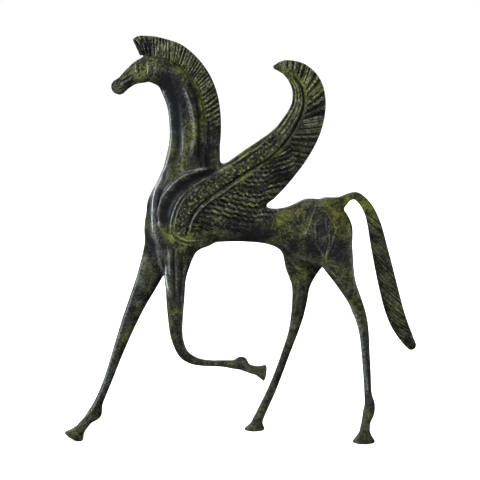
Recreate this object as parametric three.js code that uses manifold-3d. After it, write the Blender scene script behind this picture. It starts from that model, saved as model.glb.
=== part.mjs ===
// A winged horse cast in bronze: one solid casting that stands on three hooves with its near foreleg lifted.
// Millimetres, +Z up. The head points to -X and the side that is carved in full faces -Y.
// The form is a signed distance field: limbs swept along centre lines and melted together, then carved.

import * as THREE from 'three';
import Module from 'manifold-3d';

// Driving dimensions
const GRID = 1.15; // spacing of the lattice that the surface is drawn on
const TRIANGLES = 9300; // size of the finished solid
const SPAN_STEPS = 6; // straight steps between two stations of a limb
const CARE = 15; // how many times closer the head and the soles are kept when the skin is thinned out
const HEAD_BOX = new THREE.Box3(new THREE.Vector3(-108, -12, 288), new THREE.Vector3(-70, 12, 322));

const SOLE_INSET = 0.7; // the soles are drawn this far below the ground, then cut off level
const SOLE_EDGE = 1.5; // rounding of a sole's rim
const HOOF_FLARE = 1.9; // how late a hoof opens out towards its sole
const HOOF_BLEND = 1.5; // how widely a hoof melts into its leg
const LEVEL = 0.05; // points lower than this are set level with the ground
const FILL = 0.05; // how far inside the skin a filled lattice corner lies, in lattice steps

// Carving. Four numbers in a row are a fade: it rises from the first to the second and falls from the third to
// the fourth. "Across" is a share of the limb's half-width, and "along" a share of its length.
const MANE_LOCK = 6.2; // pitch of the locks along the crest
const MANE_DEPTH = 1.3; // depth of the grooves between them
const MANE_LEAN = 0.25; // how far a lock leans along the crest for each millimetre outwards
const MANE_ACROSS = [-1, -0.75, 1.15, 1.4];
const MANE_END = [14, 4]; // the locks fade out between these distances from the withers
const FEATHER = 7.2; // pitch of the flight feathers along the quill
const FEATHER_DEPTH = 1.3;
const FEATHER_ACROSS = [0.06, 0.18, 1.1, 1.3];
const FEATHER_ALONG = [0.04, 0.1, 0.93, 0.98];
// The feathers are straight and open like a fan: where each is rooted along the quill, and its rise in degrees
const FEATHER_RISE = [[0, -8], [0.26, -13], [0.54, 0], [0.68, 20], [0.78, 50], [0.88, 75], [1, 100]];
const LEADING_RIBS = 3.2; // ribs along the wing's leading band, for its whole half-width
const LEADING_DEPTH = 0.7;
const LEADING_START = 0.3;
const LEADING_ACROSS = [LEADING_START, 0.42, 0.86, 0.98];
const LEADING_ALONG = [0.34, 0.44, 0.84, 0.92];
const TAIL_STRAND = 5.2; // pitch of the tail's strands, square to their run
const TAIL_LEAN = 32; // degrees between a strand and the tail
const TAIL_DEPTH = 1.2;
const TAIL_ROOT = [42, 60]; // the strands begin between these distances along the tail
const TAIL_TIP = [8, 2]; // and end between these distances from its tip
const TAIL_EDGE = [1.2, 1.5];
const SIDES = [0.25, 0.75]; // the carving fades out where the skin turns away from the flat sides

// Limbs. A row is a station: x, z, half-width before and behind the centre line, y, and half the thickness.
// "blend" is how widely a limb melts into the ones before it, "section" the power of its oval section.
const LIMBS = {
  neck: {
    blend: 6, section: 2.2, rows: [
      [-68.5, 312.5, 11.5, 10, 0, 7.2],
      [-58, 305.5, 14.5, 12, 0, 7.6],
      [-51, 295.5, 16.5, 13.6, 0, 8.2],
      [-45.5, 283, 16.5, 14.9, 0, 8.8],
      [-42.5, 267.5, 16.5, 16, 0, 9.4],
      [-42, 252, 16.3, 16.8, 0, 10.2],
      [-44, 235, 18.6, 18.6, 0, 11.2],
      [-45, 215, 25.8, 25, 0, 12.2],
      [-49, 197, 28, 29, 0, 12.8],
      [-53, 184, 19, 27, 0, 12.4],
    ],
  },
  barrel: {
    blend: 9, section: 2.2, rows: [
      [-41.5, 186, 16.6, 16.6, 0, 12],
      [-23.5, 189, 20.1, 20.1, 0, 12.4],
      [0, 186.5, 17.6, 17.6, 0, 12],
      [22, 182, 15.2, 15, 0, 11],
      [37, 179.5, 18.8, 17.8, 0, 11.2],
      [50.5, 178.2, 25.6, 23.3, 0, 12.2],
      [59, 178, 26.6, 25.6, 0, 13],
      [67, 178, 26, 26, 0, 13],
    ],
  },
  nearHind: {
    blend: 7, section: 2.2, rows: [
      [74.5, 173, 18.6, 18.6, -4, 9.5],
      [80, 155.5, 14.4, 15, -7, 9],
      [87.5, 136, 8.2, 9, -10, 7.6],
      [94.5, 120.5, 5.9, 6.1, -12.5, 6.4],
      [99.5, 108.5, 4.6, 5.7, -14, 5.4],
      [103, 94.5, 3.4, 4.5, -15.5, 4.4],
      [104.5, 76, 2.7, 3.7, -17.5, 3.9],
      [105.5, 57, 2.7, 3.7, -19, 3.7],
      [106, 42, 2.8, 3.7, -20.5, 3.8],
      [107.5, 32, 4, 5, -21.5, 4.2],
      [106.5, 25, 4.6, 5.4, -22, 4.3],
      [104, 17.5, 3.9, 3.9, -22.5, 4],
      [103, 11.5, 3.8, 3.8, -23, 4.2],
    ],
  },
  farHind: {
    blend: 11, section: 2.2, rows: [
      [54, 166.5, 19, 18, 5, 9],
      [52.5, 148, 19, 14.4, 8, 8.2],
      [53, 129.5, 8.4, 8.4, 11, 7],
      [52.5, 114.5, 5.9, 7.1, 13, 6.2],
      [51, 102, 4.9, 6.3, 14.5, 5.4],
      [47.5, 86.5, 3.7, 4.6, 16.5, 4.6],
      [42.5, 70.5, 3, 4.2, 18, 4.2],
      [36.5, 52.5, 3, 4, 20, 3.9],
      [29.5, 34.5, 3.4, 4.1, 21, 3.8],
      [23.5, 21, 3.5, 4.4, 21.5, 3.9],
      [17, 7.5, 4.3, 4.3, 22, 4],
    ],
  },
  farFore: {
    blend: 6, section: 2.2, rows: [
      [-65.5, 174, 11.6, 13.2, 3, 10],
      [-71, 155, 12.4, 11.4, 6, 8.6],
      [-78, 135.5, 9.7, 9.8, 7, 7.4],
      [-85, 117.5, 6.4, 9, 7.5, 6.4],
      [-92, 101.5, 5.3, 7.7, 7.5, 5.6],
      [-99, 84.5, 4.5, 6.1, 7.5, 4.8],
      [-105.5, 67.5, 3.8, 4.8, 7.5, 4.2],
      [-111, 52.5, 3.4, 4.2, 7.5, 3.8],
      [-116, 40.5, 3.3, 3.9, 7.5, 3.6],
      [-120.5, 31, 4.2, 4, 7.5, 3.9],
      [-124, 23.5, 6.9, 5, 7.5, 4.2],
      [-129, 18, 4.8, 3.8, 7.5, 3.9],
      [-133.5, 12.5, 3.9, 3.9, 7.5, 4.2],
    ],
  },
  nearFore: {
    blend: 4, section: 2.2, rows: [
      [-52.5, 175, 34, 14.2, -3, 10],
      [-52.8, 169, 28, 13.3, -3.8, 9.7],
      [-53, 166, 20.2, 12.7, -4.2, 9.5],
      [-53.3, 162.5, 15.8, 12, -4.7, 9.3],
      [-53.8, 157, 13.4, 10.9, -5.5, 8.9],
      [-54.2, 150, 11.1, 10, -6.6, 8.3],
      [-54.5, 139, 8.1, 9.2, -8.5, 7.6],
      [-55, 124, 7.4, 8.1, -10, 6.8],
      [-55, 110, 6.1, 7.1, -11, 6],
      [-54.5, 96.5, 5, 6.1, -12, 5.4],
      [-52.5, 86.5, 4.2, 5.4, -12.5, 5],
      [-48.5, 77.5, 3.9, 4.7, -13, 4.6],
      [-42, 72.4, 3.7, 3.7, -13.5, 4.2],
      [-34, 70, 3, 2.9, -14, 3.9],
      [-25, 69.1, 2.7, 2.6, -14, 3.6],
      [-15.5, 68.6, 3, 3, -14, 3.6],
      [-7.5, 68, 3.6, 4.2, -14, 3.8],
      [-1, 68.2, 6.2, 5.8, -14, 4.1],
      [3.6, 65.4, 3.5, 4.6, -14, 4],
      [8.5, 62.9, 3, 3.9, -14, 3.9],
    ],
  },
  head: {
    blend: 5, section: 2.2, rows: [
      [-99, 298, 6.6, 6.6, 0, 4.8],
      [-95, 301, 6.1, 6, 0, 5.4],
      [-89, 306, 7.4, 7.4, 0, 6.6],
      [-82.4, 309.6, 9.5, 9.5, 0, 7.4],
      [-75, 312, 10.5, 10.2, 0, 7.6],
      [-67, 311.4, 11, 10.6, 0, 7.4],
    ],
  },
  tail: {
    blend: 3, section: 2.4, rows: [
      [72, 199.5, 5.9, 5.9, 0, 8],
      [82.5, 200.5, 5, 6, 0, 5.2],
      [91, 205, 3.5, 3, 0, 3.6],
      [97.5, 205.5, 3.8, 3.1, 0, 3.2],
      [104, 200, 4.3, 3.9, 0, 3.4],
      [109.3, 191.5, 5, 4.7, 0, 3.7],
      [113.8, 179, 5.9, 6.2, 0, 4],
      [117.6, 162, 6.9, 7, 0, 4.3],
      [122, 144, 7.6, 7.7, 0, 4.6],
      [126.3, 126, 8.1, 7.9, 0, 4.6],
      [131.5, 109.5, 7.5, 8.5, 0, 4.4],
      [136.5, 96, 6.9, 7.8, 0, 3.8],
      [142.5, 84, 5.8, 6, 0, 3],
      [147, 77, 4.3, 4.5, 0, 2.2],
    ],
  },
  mane: {
    blend: 1.6, section: 3, squareStart: true, rows: [
      [-84.9, 329.3, 6.6, 7.4, 0, 2.9],
      [-81.8, 330.6, 8, 7.8, 0, 3.1],
      [-77.5, 330.9, 7.8, 8, 0, 3.4],
      [-71.5, 330.5, 7.8, 7.8, 0, 3.8],
      [-62.5, 328, 8.3, 8.3, 0, 4.2],
      [-52, 324.5, 8, 8, 0, 4.4],
      [-42.5, 318, 7.2, 7.7, 0, 4.5],
      [-34.5, 309.5, 6.6, 7.3, 0, 4.6],
      [-28.5, 299.5, 6.3, 7, 0, 4.8],
      [-24.5, 288, 6.1, 6.7, 0, 5],
      [-22.5, 275.5, 5.9, 6.5, 0, 5.2],
      [-21.5, 262, 5.3, 5.9, 0, 5.4],
      [-22.5, 248, 5.3, 5.3, 0, 5.8],
      [-23, 233, 6, 6, 0, 6.5],
    ],
  },
  wing: {
    // the centre line is the quill: the first width reaches the leading edge, the second the trailing edge
    blend: 5, section: 2.6, rows: [
      [-44, 174, 14.1, 6.6, 0, 13.2],
      [-41.5, 186, 15.8, 13.3, 0, 13.4],
      [-36.5, 195.5, 16.6, 21.6, 0, 13.4],
      [-28.5, 205, 16.6, 27.4, 0, 13],
      [-16.5, 212.5, 18.7, 30.7, 0, 12.2],
      [-1.5, 222, 16.9, 30.8, 0, 9.6],
      [11.5, 231, 16.7, 30.8, 0, 7.2],
      [25, 240.5, 16.2, 27, 0, 5.8],
      [37.5, 251.5, 15, 23, 0, 5],
      [47.5, 265.5, 13.6, 20.2, 0, 4.4],
      [53, 281, 11.3, 17.8, 0, 3.9],
      [52.5, 295, 10, 15.9, 0, 3.5],
      [47, 305.5, 8.4, 12.5, 0, 3.1],
      [39.5, 311.5, 6.5, 7.9, 0, 2.7],
      [32.5, 313, 3.8, 5, 0, 2.2],
      [29, 313, 2, 2.5, 0, 1.8],
    ],
  },
};

// Hooves: the ankle, the middle of the sole, the sole's lean in degrees from level, the ankle's radius, and the
// sole's radii along and across the body.
const HOOVES = {
  nearHind: { ankle: [103.2, -23, 14], sole: [102, -23, 0], lean: 0, radii: [3.7, 10.4, 9.4] },
  farHind: { ankle: [18, 22, 11], sole: [14.2, 22, 0], lean: 0, radii: [4, 9.8, 8.8] },
  farFore: { ankle: [-132, 7.5, 14], sole: [-141.8, 7.5, 2.8], lean: 27, radii: [4, 9.2, 8.6] },
  nearFore: { ankle: [8.2, -14, 62.9], sole: [19, -14, 59.6], lean: -80, radii: [3.6, 7.7, 7.4] },
};

// Carved lines: height above the skin (a groove is negative), half-width, and the points that the line runs
// through. "nearOnly" lines are left off the plainer far side.
const LINES = [
  // the roll down the front of the neck and chest, on to the lifted foreleg
  { height: 1.1, half: 2, points: [[-63.5, 292], [-57, 274], [-57, 248], [-67, 222], [-73.5, 201.5],
    [-73, 182], [-68, 159.5], [-61.5, 134], [-59.5, 118]] },
  // hollows and ridges along the neck
  { height: -1.3, half: 4.5, points: [[-56, 293.5], [-51, 269], [-52, 250], [-57, 226]] },
  { height: 0.7, half: 2.4, points: [[-50, 277.5], [-46.5, 262.5], [-46, 248], [-47, 233.5]] },
  { height: 1.3, half: 2.1, points: [[-53, 309.5], [-43.5, 289.5], [-38.5, 264.5], [-41.5, 240]] },
  { height: -1.5, half: 3.2, points: [[-48, 309.5], [-36.5, 288.5], [-33, 261], [-35.5, 234]] },
  { height: 0.9, half: 1.6, points: [[-71, 321.5], [-52.5, 315], [-37.5, 299.5], [-29.5, 278.5],
    [-27.5, 252.5], [-28.5, 236]] },
  // the cord around the wing's root, the channel behind it and the inner cord that runs up the blade
  { height: 1.9, half: 2.2, points: [[-26, 230.5], [-47, 226.5], [-62, 212], [-67.5, 195.5], [-64, 182]] },
  { height: -2.2, half: 5, points: [[-16, 230], [-42, 221.5], [-58, 204], [-61.5, 184.5]] },
  { height: 1, half: 1.6, points: [[34, 269], [8.5, 244], [-21, 227.5], [-44, 215], [-54.5, 197],
    [-58, 181.5]] },
  // the quill
  { height: -1.4, half: 1.7, points: [[-46.5, 175], [-42.5, 187.5], [-29, 206], [-3, 224], [23.5, 239.5],
    [45, 264.5], [53, 289], [47, 303]] },
  // folds at the elbow, and flutes down the lifted foreleg
  { height: 0.6, half: 1.5, points: [[-59, 177], [-54, 172], [-41, 169]] },
  { height: 0.8, half: 1.8, points: [[-59, 167], [-59.5, 154.5], [-57.5, 125.5]] },
  { height: 0.8, half: 1.8, points: [[-52.5, 167], [-52, 154.5], [-52.5, 125.5]] },
  { height: -0.8, half: 1.8, points: [[-56, 168], [-55.8, 150], [-55, 128]] },
  { height: 0.7, half: 1.5, points: [[-46, 154.5], [-49.5, 123], [-50.5, 91.5], [-42.5, 77]] },
  // shins and the edges of the hind legs
  { height: 0.7, half: 1.5, points: [[-80, 158], [-94, 114], [-109.5, 66.5], [-118.5, 40.5], [-132, 20]] },
  { height: 0.6, half: 1.5, points: [[90, 117], [99, 99], [103, 73], [104.5, 39.5]] },
  { height: 0.7, half: 1.8, points: [[89.5, 185.5], [91.5, 153.5], [98, 125.5], [105.5, 98]] },
  { height: 0.9, half: 2, points: [[51, 157.5], [67, 150], [81.5, 136.5]] },
  { height: 0.6, half: 1.6, points: [[49.5, 137.5], [46.5, 100.5], [33, 57], [20, 25.5]] },
  // the pointed ornament on the haunch
  { height: 0.7, half: 1.2, nearOnly: true, sharp: true, points: [[53.5, 177], [56, 184], [62.5, 201]] },
  { height: 0.9, half: 1.3, nearOnly: true, sharp: true, points: [[61, 184.5], [61.5, 171], [69.5, 156.5],
    [78, 180]] },
  // cheek, mouth and the line down the face
  { height: -0.9, half: 1.6, points: [[-72.5, 319], [-72, 310], [-75.5, 302.5]] },
  { height: -0.6, half: 1, points: [[-101.5, 294], [-97.5, 296.5], [-92, 299.5]] },
  { height: 0.5, half: 1.3, points: [[-96, 306], [-89.5, 311.5], [-84, 316]] },
];

// Round bosses and pits: x, z, radius and height.
const SPOTS = [
  [-84, 313.5, 2.6, 1.2], // eye
  [-101, 300, 1.5, -0.8], // nostril
];

const clamp = THREE.MathUtils.clamp;
const smoothstep = THREE.MathUtils.smoothstep;

function smoothMin(a, b, blend) {
  const h = Math.max(blend - Math.abs(a - b), 0) / blend;
  return Math.min(a, b) - h * h * blend / 4;
}

// Stations joined by smooth curves through them: one curve for the place, one for the girth.
function sweep({ rows, section, squareStart = false }) {
  const through = (points) => new THREE.CatmullRomCurve3(points, false, 'catmullrom', 0.5);
  const path = through(rows.map(([x, z, , , y]) => new THREE.Vector3(x, y, z)));
  const girth = through(rows.map(([, , before, behind, , half]) => new THREE.Vector3(before, behind, half)));
  const count = (rows.length - 1) * SPAN_STEPS + 1;
  const ribs = [];
  let arc = 0;
  for (let i = 0; i < count; i++) {
    const at = path.getPoint(i / (count - 1));
    const size = girth.getPoint(i / (count - 1));
    if (i > 0) arc += Math.hypot(at.x - ribs[i - 1].x, at.z - ribs[i - 1].z);
    ribs.push({ x: at.x, y: at.y, z: at.z, before: size.x, behind: size.y, half: size.z, arc });
  }
  const reach = Math.max(...ribs.map((rib) => Math.max(rib.before, rib.behind)));
  const box = new THREE.Box3();
  for (const rib of ribs) {
    box.expandByPoint(new THREE.Vector3(rib.x - reach, rib.y - rib.half, rib.z - reach));
    box.expandByPoint(new THREE.Vector3(rib.x + reach, rib.y + rib.half, rib.z + reach));
  }
  const spans = ribs.slice(1).map((b, i) => {
    const a = ribs[i];
    const sx = b.x - a.x;
    const sz = b.z - a.z;
    return { a, b, sx, sz, scale: 1 / (sx * sx + sz * sz) };
  });
  return { spans, section, squareStart, box, length: arc };
}

// The place of a point along and across a limb, measured in the XZ plane. "Across" is positive before the line.
function locate({ spans }, x, z) {
  let nearest = Infinity;
  let best = null;
  let share = 0;
  for (const span of spans) {
    const dx = x - span.a.x;
    const dz = z - span.a.z;
    const t = Math.min(Math.max((dx * span.sx + dz * span.sz) * span.scale, 0), 1);
    const ex = dx - t * span.sx;
    const ez = dz - t * span.sz;
    const gap = ex * ex + ez * ez;
    if (gap < nearest) {
      nearest = gap;
      best = span;
      share = t;
    }
  }
  const { a, b } = best;
  const ahead = best.sx * (z - a.z) - best.sz * (x - a.x) > 0;
  const from = ahead ? a.before : a.behind;
  const to = ahead ? b.before : b.behind;
  return {
    across: Math.sqrt(nearest) * (ahead ? 1 : -1),
    width: from + (to - from) * share,
    arc: a.arc + (b.arc - a.arc) * share,
    y: a.y + (b.y - a.y) * share,
    half: a.half + (b.half - a.half) * share,
  };
}

function limbDistance(limb, x, y, z) {
  const spot = locate(limb, x, z);
  const u = Math.abs(spot.across) / spot.width;
  const v = Math.abs(y - spot.y) / spot.half;
  const power = limb.section;
  const level = Math.pow(Math.pow(u, power) + Math.pow(v, power), 1 / power) + 1e-9;
  const fall = (share, radius) => Math.pow(share / level, power - 1) / radius;
  const slope = Math.hypot(fall(u, spot.width), fall(v, spot.half));
  let distance = Math.max((level - 1) / (slope + 1e-9), -Math.min(spot.width, spot.half));
  if (limb.squareStart) {
    const { a, sx, sz, scale } = limb.spans[0];
    distance = Math.max(distance, -((x - a.x) * sx + (z - a.z) * sz) * Math.sqrt(scale));
  }
  return distance;
}

// A hoof is round in plan and opens out from the ankle to a flat sole with a rounded rim.
function hoofDistance({ ankle, sole, lean, radii }, x, y, z) {
  const [ankleRadius, soleLong, soleWide] = radii;
  const angle = THREE.MathUtils.degToRad(lean);
  const down = [-Math.sin(angle), -Math.cos(angle)];
  const height = (sole[0] - x) * down[0] + (sole[2] - z) * down[1];
  const full = (sole[0] - ankle[0]) * down[0] + (sole[2] - ankle[2]) * down[1];
  const cx = sole[0] + (ankle[0] - sole[0]) * (height / full);
  const cz = sole[2] + (ankle[2] - sole[2]) * (height / full);
  const opening = Math.pow(clamp(1 - height / full, 0, 1), HOOF_FLARE);
  const long = ankleRadius + (soleLong - ankleRadius) * opening;
  const wide = ankleRadius + (soleWide - ankleRadius) * opening;
  const wall = (Math.hypot(Math.hypot(x - cx, z - cz) / long, (y - sole[1]) / wide) - 1) * Math.min(long, wide);
  const underside = -height - SOLE_INSET;
  return Math.max(-smoothMin(-wall, -underside, 2 * SOLE_EDGE), height - full);
}

const limbs = Object.fromEntries(Object.entries(LIMBS).map(([name, limb]) => [name, sweep(limb)]));

const FAR = 60; // the distance that is given for a point with no limb near it
const NEAR = 16; // a limb counts only within this distance of its own box

function bodyDistance(x, y, z) {
  let distance = FAR;
  const point = new THREE.Vector3(x, y, z);
  for (const name in limbs) {
    if (limbs[name].box.distanceToPoint(point) > NEAR) continue;
    distance = smoothMin(distance, limbDistance(limbs[name], x, y, z), LIMBS[name].blend);
  }
  for (const name in HOOVES) {
    const { sole } = HOOVES[name];
    if (Math.hypot(x - sole[0], z - sole[2]) > 2 * NEAR) continue;
    distance = smoothMin(distance, hoofDistance(HOOVES[name], x, y, z), HOOF_BLEND);
  }
  return distance;
}

// Whether corners of a lattice cell, numbered 4x + 2y + z, hang together along its edges.
function hangTogether(corners) {
  const reached = new Set(corners.slice(0, 1));
  for (const c of reached) for (const bit of [4, 2, 1]) if (corners.includes(c ^ bit)) reached.add(c ^ bit);
  return reached.size === corners.length;
}

const CORNERS = [0, 1, 2, 3, 4, 5, 6, 7];
// For each pattern of corners inside the body: does the skin cross the cell in one plain sheet?
const ONE_SHEET = Array.from({ length: 256 }, (_, pattern) => [0, 1].every(
  (side) => hangTogether(CORNERS.filter((c) => ((pattern >> c) & 1) === side))));

// Draws the zero surface of a field over the lattice cells that it passes through: one vertex for each cell,
// and one quad around each lattice edge that the skin crosses. Only blocks of cells near the surface are sampled.
function drawSurface(field, box, step) {
  const BLOCK = 4;
  const REACH = 1.7 * BLOCK * step; // a block counts when its middle is nearer to the surface than this
  const counts = box.getSize(new THREE.Vector3()).toArray().map((side) => Math.ceil(side / (step * BLOCK)));
  const [nx, ny, nz] = counts.map((count) => count * BLOCK + 1);
  const strides = [ny * nz, nz, 1];
  const offsets = CORNERS.map((c) => (c >> 2) * strides[0] + ((c >> 1) & 1) * strides[1] + (c & 1));
  const place = (i, j, k) => [box.min.x + i * step, box.min.y + j * step, box.min.z + k * step];
  const everyCell = (sides, visit) => {
    for (let i = 0; i < sides[0]; i++) {
      for (let j = 0; j < sides[1]; j++) for (let k = 0; k < sides[2]; k++) visit(i, j, k);
    }
  };

  const value = new Float32Array(nx * ny * nz).fill(NaN);
  const cells = [];
  everyCell(counts, (...block) => {
    if (Math.abs(field(...place(...block.map((index) => (index + 0.5) * BLOCK)))) > REACH) return;
    everyCell([BLOCK + 1, BLOCK + 1, BLOCK + 1], (...step3) => {
      const cell = block.map((index, m) => index * BLOCK + step3[m]);
      const at = cell[0] * strides[0] + cell[1] * strides[1] + cell[2];
      if (Number.isNaN(value[at])) value[at] = field(...place(...cell));
      if (Math.max(...step3) < BLOCK) cells.push([at, cell]);
    });
  });

  // Where the skin would cross a cell in more than one sheet, the outside corner nearest to it is filled in.
  const patternAt = (at) => offsets.reduce((bits, offset, c) => bits | ((value[at + offset] < 0) << c), 0);
  for (let filled = true; filled;) {
    filled = false;
    for (const [at] of cells) {
      if (ONE_SHEET[patternAt(at)]) continue;
      const outside = offsets.map((offset) => at + offset).filter((spot) => value[spot] >= 0);
      value[outside.reduce((low, spot) => (value[spot] < value[low] ? spot : low))] = -FILL * step;
      filled = true;
    }
  }

  const vertexOf = new Int32Array(value.length);
  const points = [];
  const crossed = [];
  for (const [at, cell] of cells) {
    const pattern = patternAt(at);
    if (pattern === 0 || pattern === 255) continue;
    vertexOf[at] = crossed.length;
    crossed.push(at);
    const sum = [0, 0, 0];
    let crossings = 0;
    for (let axis = 0; axis < 3; axis++) for (const c of CORNERS) {
      const end = c | (4 >> axis);
      const from = value[at + offsets[c]];
      const to = value[at + offsets[end]];
      if (end === c || (from < 0) === (to < 0)) continue;
      for (let m = 0; m < 3; m++) sum[m] += ((c >> (2 - m)) & 1) + (m === axis ? from / (from - to) : 0);
      crossings++;
    }
    points.push(...place(...cell.map((index, m) => index + sum[m] / crossings)));
  }

  const triangles = [];
  for (const at of crossed) for (let axis = 0; axis < 3; axis++) {
    const rises = value[at + strides[axis]] >= 0;
    if ((value[at] >= 0) === rises) continue;
    const u = strides[(axis + 1) % 3];
    const v = strides[(axis + 2) % 3];
    const ring = [at, at - u, at - u - v, at - v].map((cell) => vertexOf[cell]);
    if (!rises) ring.reverse();
    triangles.push(ring[0], ring[1], ring[2], ring[0], ring[2], ring[3]);
  }
  return { points: Float64Array.from(points), triangles: Int32Array.from(triangles) };
}

// The field's slope, from four samples at the corners of a small tetrahedron.
function gradient(field, x, y, z) {
  const h = 0.08;
  const a = field(x + h, y - h, z - h);
  const b = field(x - h, y - h, z + h);
  const c = field(x - h, y + h, z - h);
  const d = field(x + h, y + h, z + h);
  return new THREE.Vector3(a - b - c + d, -a - b + c + d, -a + b - c + d).divideScalar(4 * h);
}

// Distance in the XZ plane from a point to a line of points.
function lineDistance(points, x, z) {
  let nearest = Infinity;
  for (let i = 0; i + 1 < points.length; i++) {
    const [ax, az] = points[i];
    const sx = points[i + 1][0] - ax;
    const sz = points[i + 1][1] - az;
    const t = clamp(((x - ax) * sx + (z - az) * sz) / (sx * sx + sz * sz), 0, 1);
    nearest = Math.min(nearest, Math.hypot(x - ax - t * sx, z - az - t * sz));
  }
  return nearest;
}

function roundedLine({ points, sharp }) {
  if (sharp) return points;
  const curve = new THREE.SplineCurve(points.map(([x, z]) => new THREE.Vector2(x, z)));
  return curve.getPoints((points.length - 1) * 4).map((p) => [p.x, p.y]);
}

const carvedLines = LINES.map((line) => ({ ...line, points: roundedLine(line) }));

// A row of rounded ribs with grooves between them: 0 on a rib's crown, 1 in a groove.
function grooves(phase) {
  const off = Math.abs(phase - Math.floor(phase) - 0.5) * 2;
  return off * off * off;
}

function fade(t, [riseFrom, riseTo, fallFrom, fallTo]) {
  return smoothstep(t, riseFrom, riseTo) * (1 - smoothstep(t, fallFrom, fallTo));
}

// A value that eases from one row of a table to the next.
function eased(table, t) {
  let value = table[0][1];
  for (let i = 1; i < table.length; i++) {
    value += (table[i][1] - table[i - 1][1]) * smoothstep(t, table[i - 1][0], table[i][0]);
  }
  return value;
}

function maneCarving(x, z) {
  const spot = locate(limbs.mane, x, z);
  const inside = fade(spot.across / spot.width, MANE_ACROSS) *
    smoothstep(limbs.mane.length - spot.arc, MANE_END[1], MANE_END[0]);
  return -MANE_DEPTH * grooves((spot.arc + MANE_LEAN * spot.across) / MANE_LOCK) * inside;
}

// The feathers' lines, one from each station of the quill, with the direction square to each.
const fan = limbs.wing.spans.map(({ a }) => {
  const rise = THREE.MathUtils.degToRad(eased(FEATHER_RISE, a.arc / limbs.wing.length));
  return { x: a.x, z: a.z, arc: a.arc, nx: -Math.sin(rise), nz: Math.cos(rise) };
});

// Where along the quill the feather through a point is rooted.
function featherRoot(x, z) {
  const above = ({ x: rx, z: rz, nx, nz }) => (x - rx) * nx + (z - rz) * nz;
  return fan.slice(1).reduce((arc, line, i) => {
    const below = above(fan[i]);
    const gap = Math.max(below - above(line), 1e-6);
    return arc + (line.arc - fan[i].arc) * clamp(below / gap, 0, 1);
  }, 0);
}

// Before the quill the wing has a ribbed leading band. Behind it flight feathers leave the quill.
function wingCarving(x, z) {
  const spot = locate(limbs.wing, x, z);
  const along = spot.arc / limbs.wing.length;
  const u = spot.across / spot.width;
  if (u > 0) {
    const inside = fade(u, LEADING_ACROSS) * fade(along, LEADING_ALONG);
    return -LEADING_DEPTH * grooves((u - LEADING_START) * LEADING_RIBS) * inside;
  }
  const inside = fade(-u, FEATHER_ACROSS) * fade(along, FEATHER_ALONG);
  return inside > 0 ? -FEATHER_DEPTH * grooves(featherRoot(x, z) / FEATHER) * inside : 0;
}

function tailCarving(x, z) {
  const spot = locate(limbs.tail, x, z);
  const lean = THREE.MathUtils.degToRad(TAIL_LEAN);
  const strand = (spot.arc * Math.sin(lean) - spot.across * Math.cos(lean)) / TAIL_STRAND;
  const inside = smoothstep(spot.arc, ...TAIL_ROOT) *
    smoothstep(limbs.tail.length - spot.arc, TAIL_TIP[1], TAIL_TIP[0]) *
    (1 - smoothstep(Math.abs(spot.across) / spot.width, ...TAIL_EDGE));
  return -TAIL_DEPTH * grooves(strand) * inside;
}

function carving(x, z, nearSide) {
  let height = maneCarving(x, z) + wingCarving(x, z) + tailCarving(x, z);
  for (const line of carvedLines) {
    if (line.nearOnly && !nearSide) continue;
    const off = lineDistance(line.points, x, z) / line.half;
    if (off < 1) height += line.height * (1 - off * off) ** 2;
  }
  for (const [cx, cz, radius, rise] of SPOTS) {
    const off = Math.hypot(x - cx, z - cz) / radius;
    if (off < 1) height += rise * (1 - off * off);
  }
  return height;
}

// Draws each point onto the skin, then raises or sinks it by the carving where the skin faces sideways.
function carve(points) {
  const p = new THREE.Vector3();
  for (let i = 0; i < points.length; i += 3) {
    p.fromArray(points, i);
    let slope = gradient(bodyDistance, p.x, p.y, p.z);
    for (let pass = 0; pass < 2; pass++) {
      const miss = clamp(bodyDistance(p.x, p.y, p.z), -GRID, GRID);
      p.addScaledVector(slope, -miss / Math.max(slope.lengthSq(), 0.2));
      slope = gradient(bodyDistance, p.x, p.y, p.z);
    }
    const normal = slope.normalize();
    const facing = smoothstep(Math.abs(normal.y), ...SIDES);
    if (facing > 0) p.addScaledVector(normal, facing * carving(p.x, p.z, normal.y < 0));
    p.toArray(points, i);
  }
}

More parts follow.
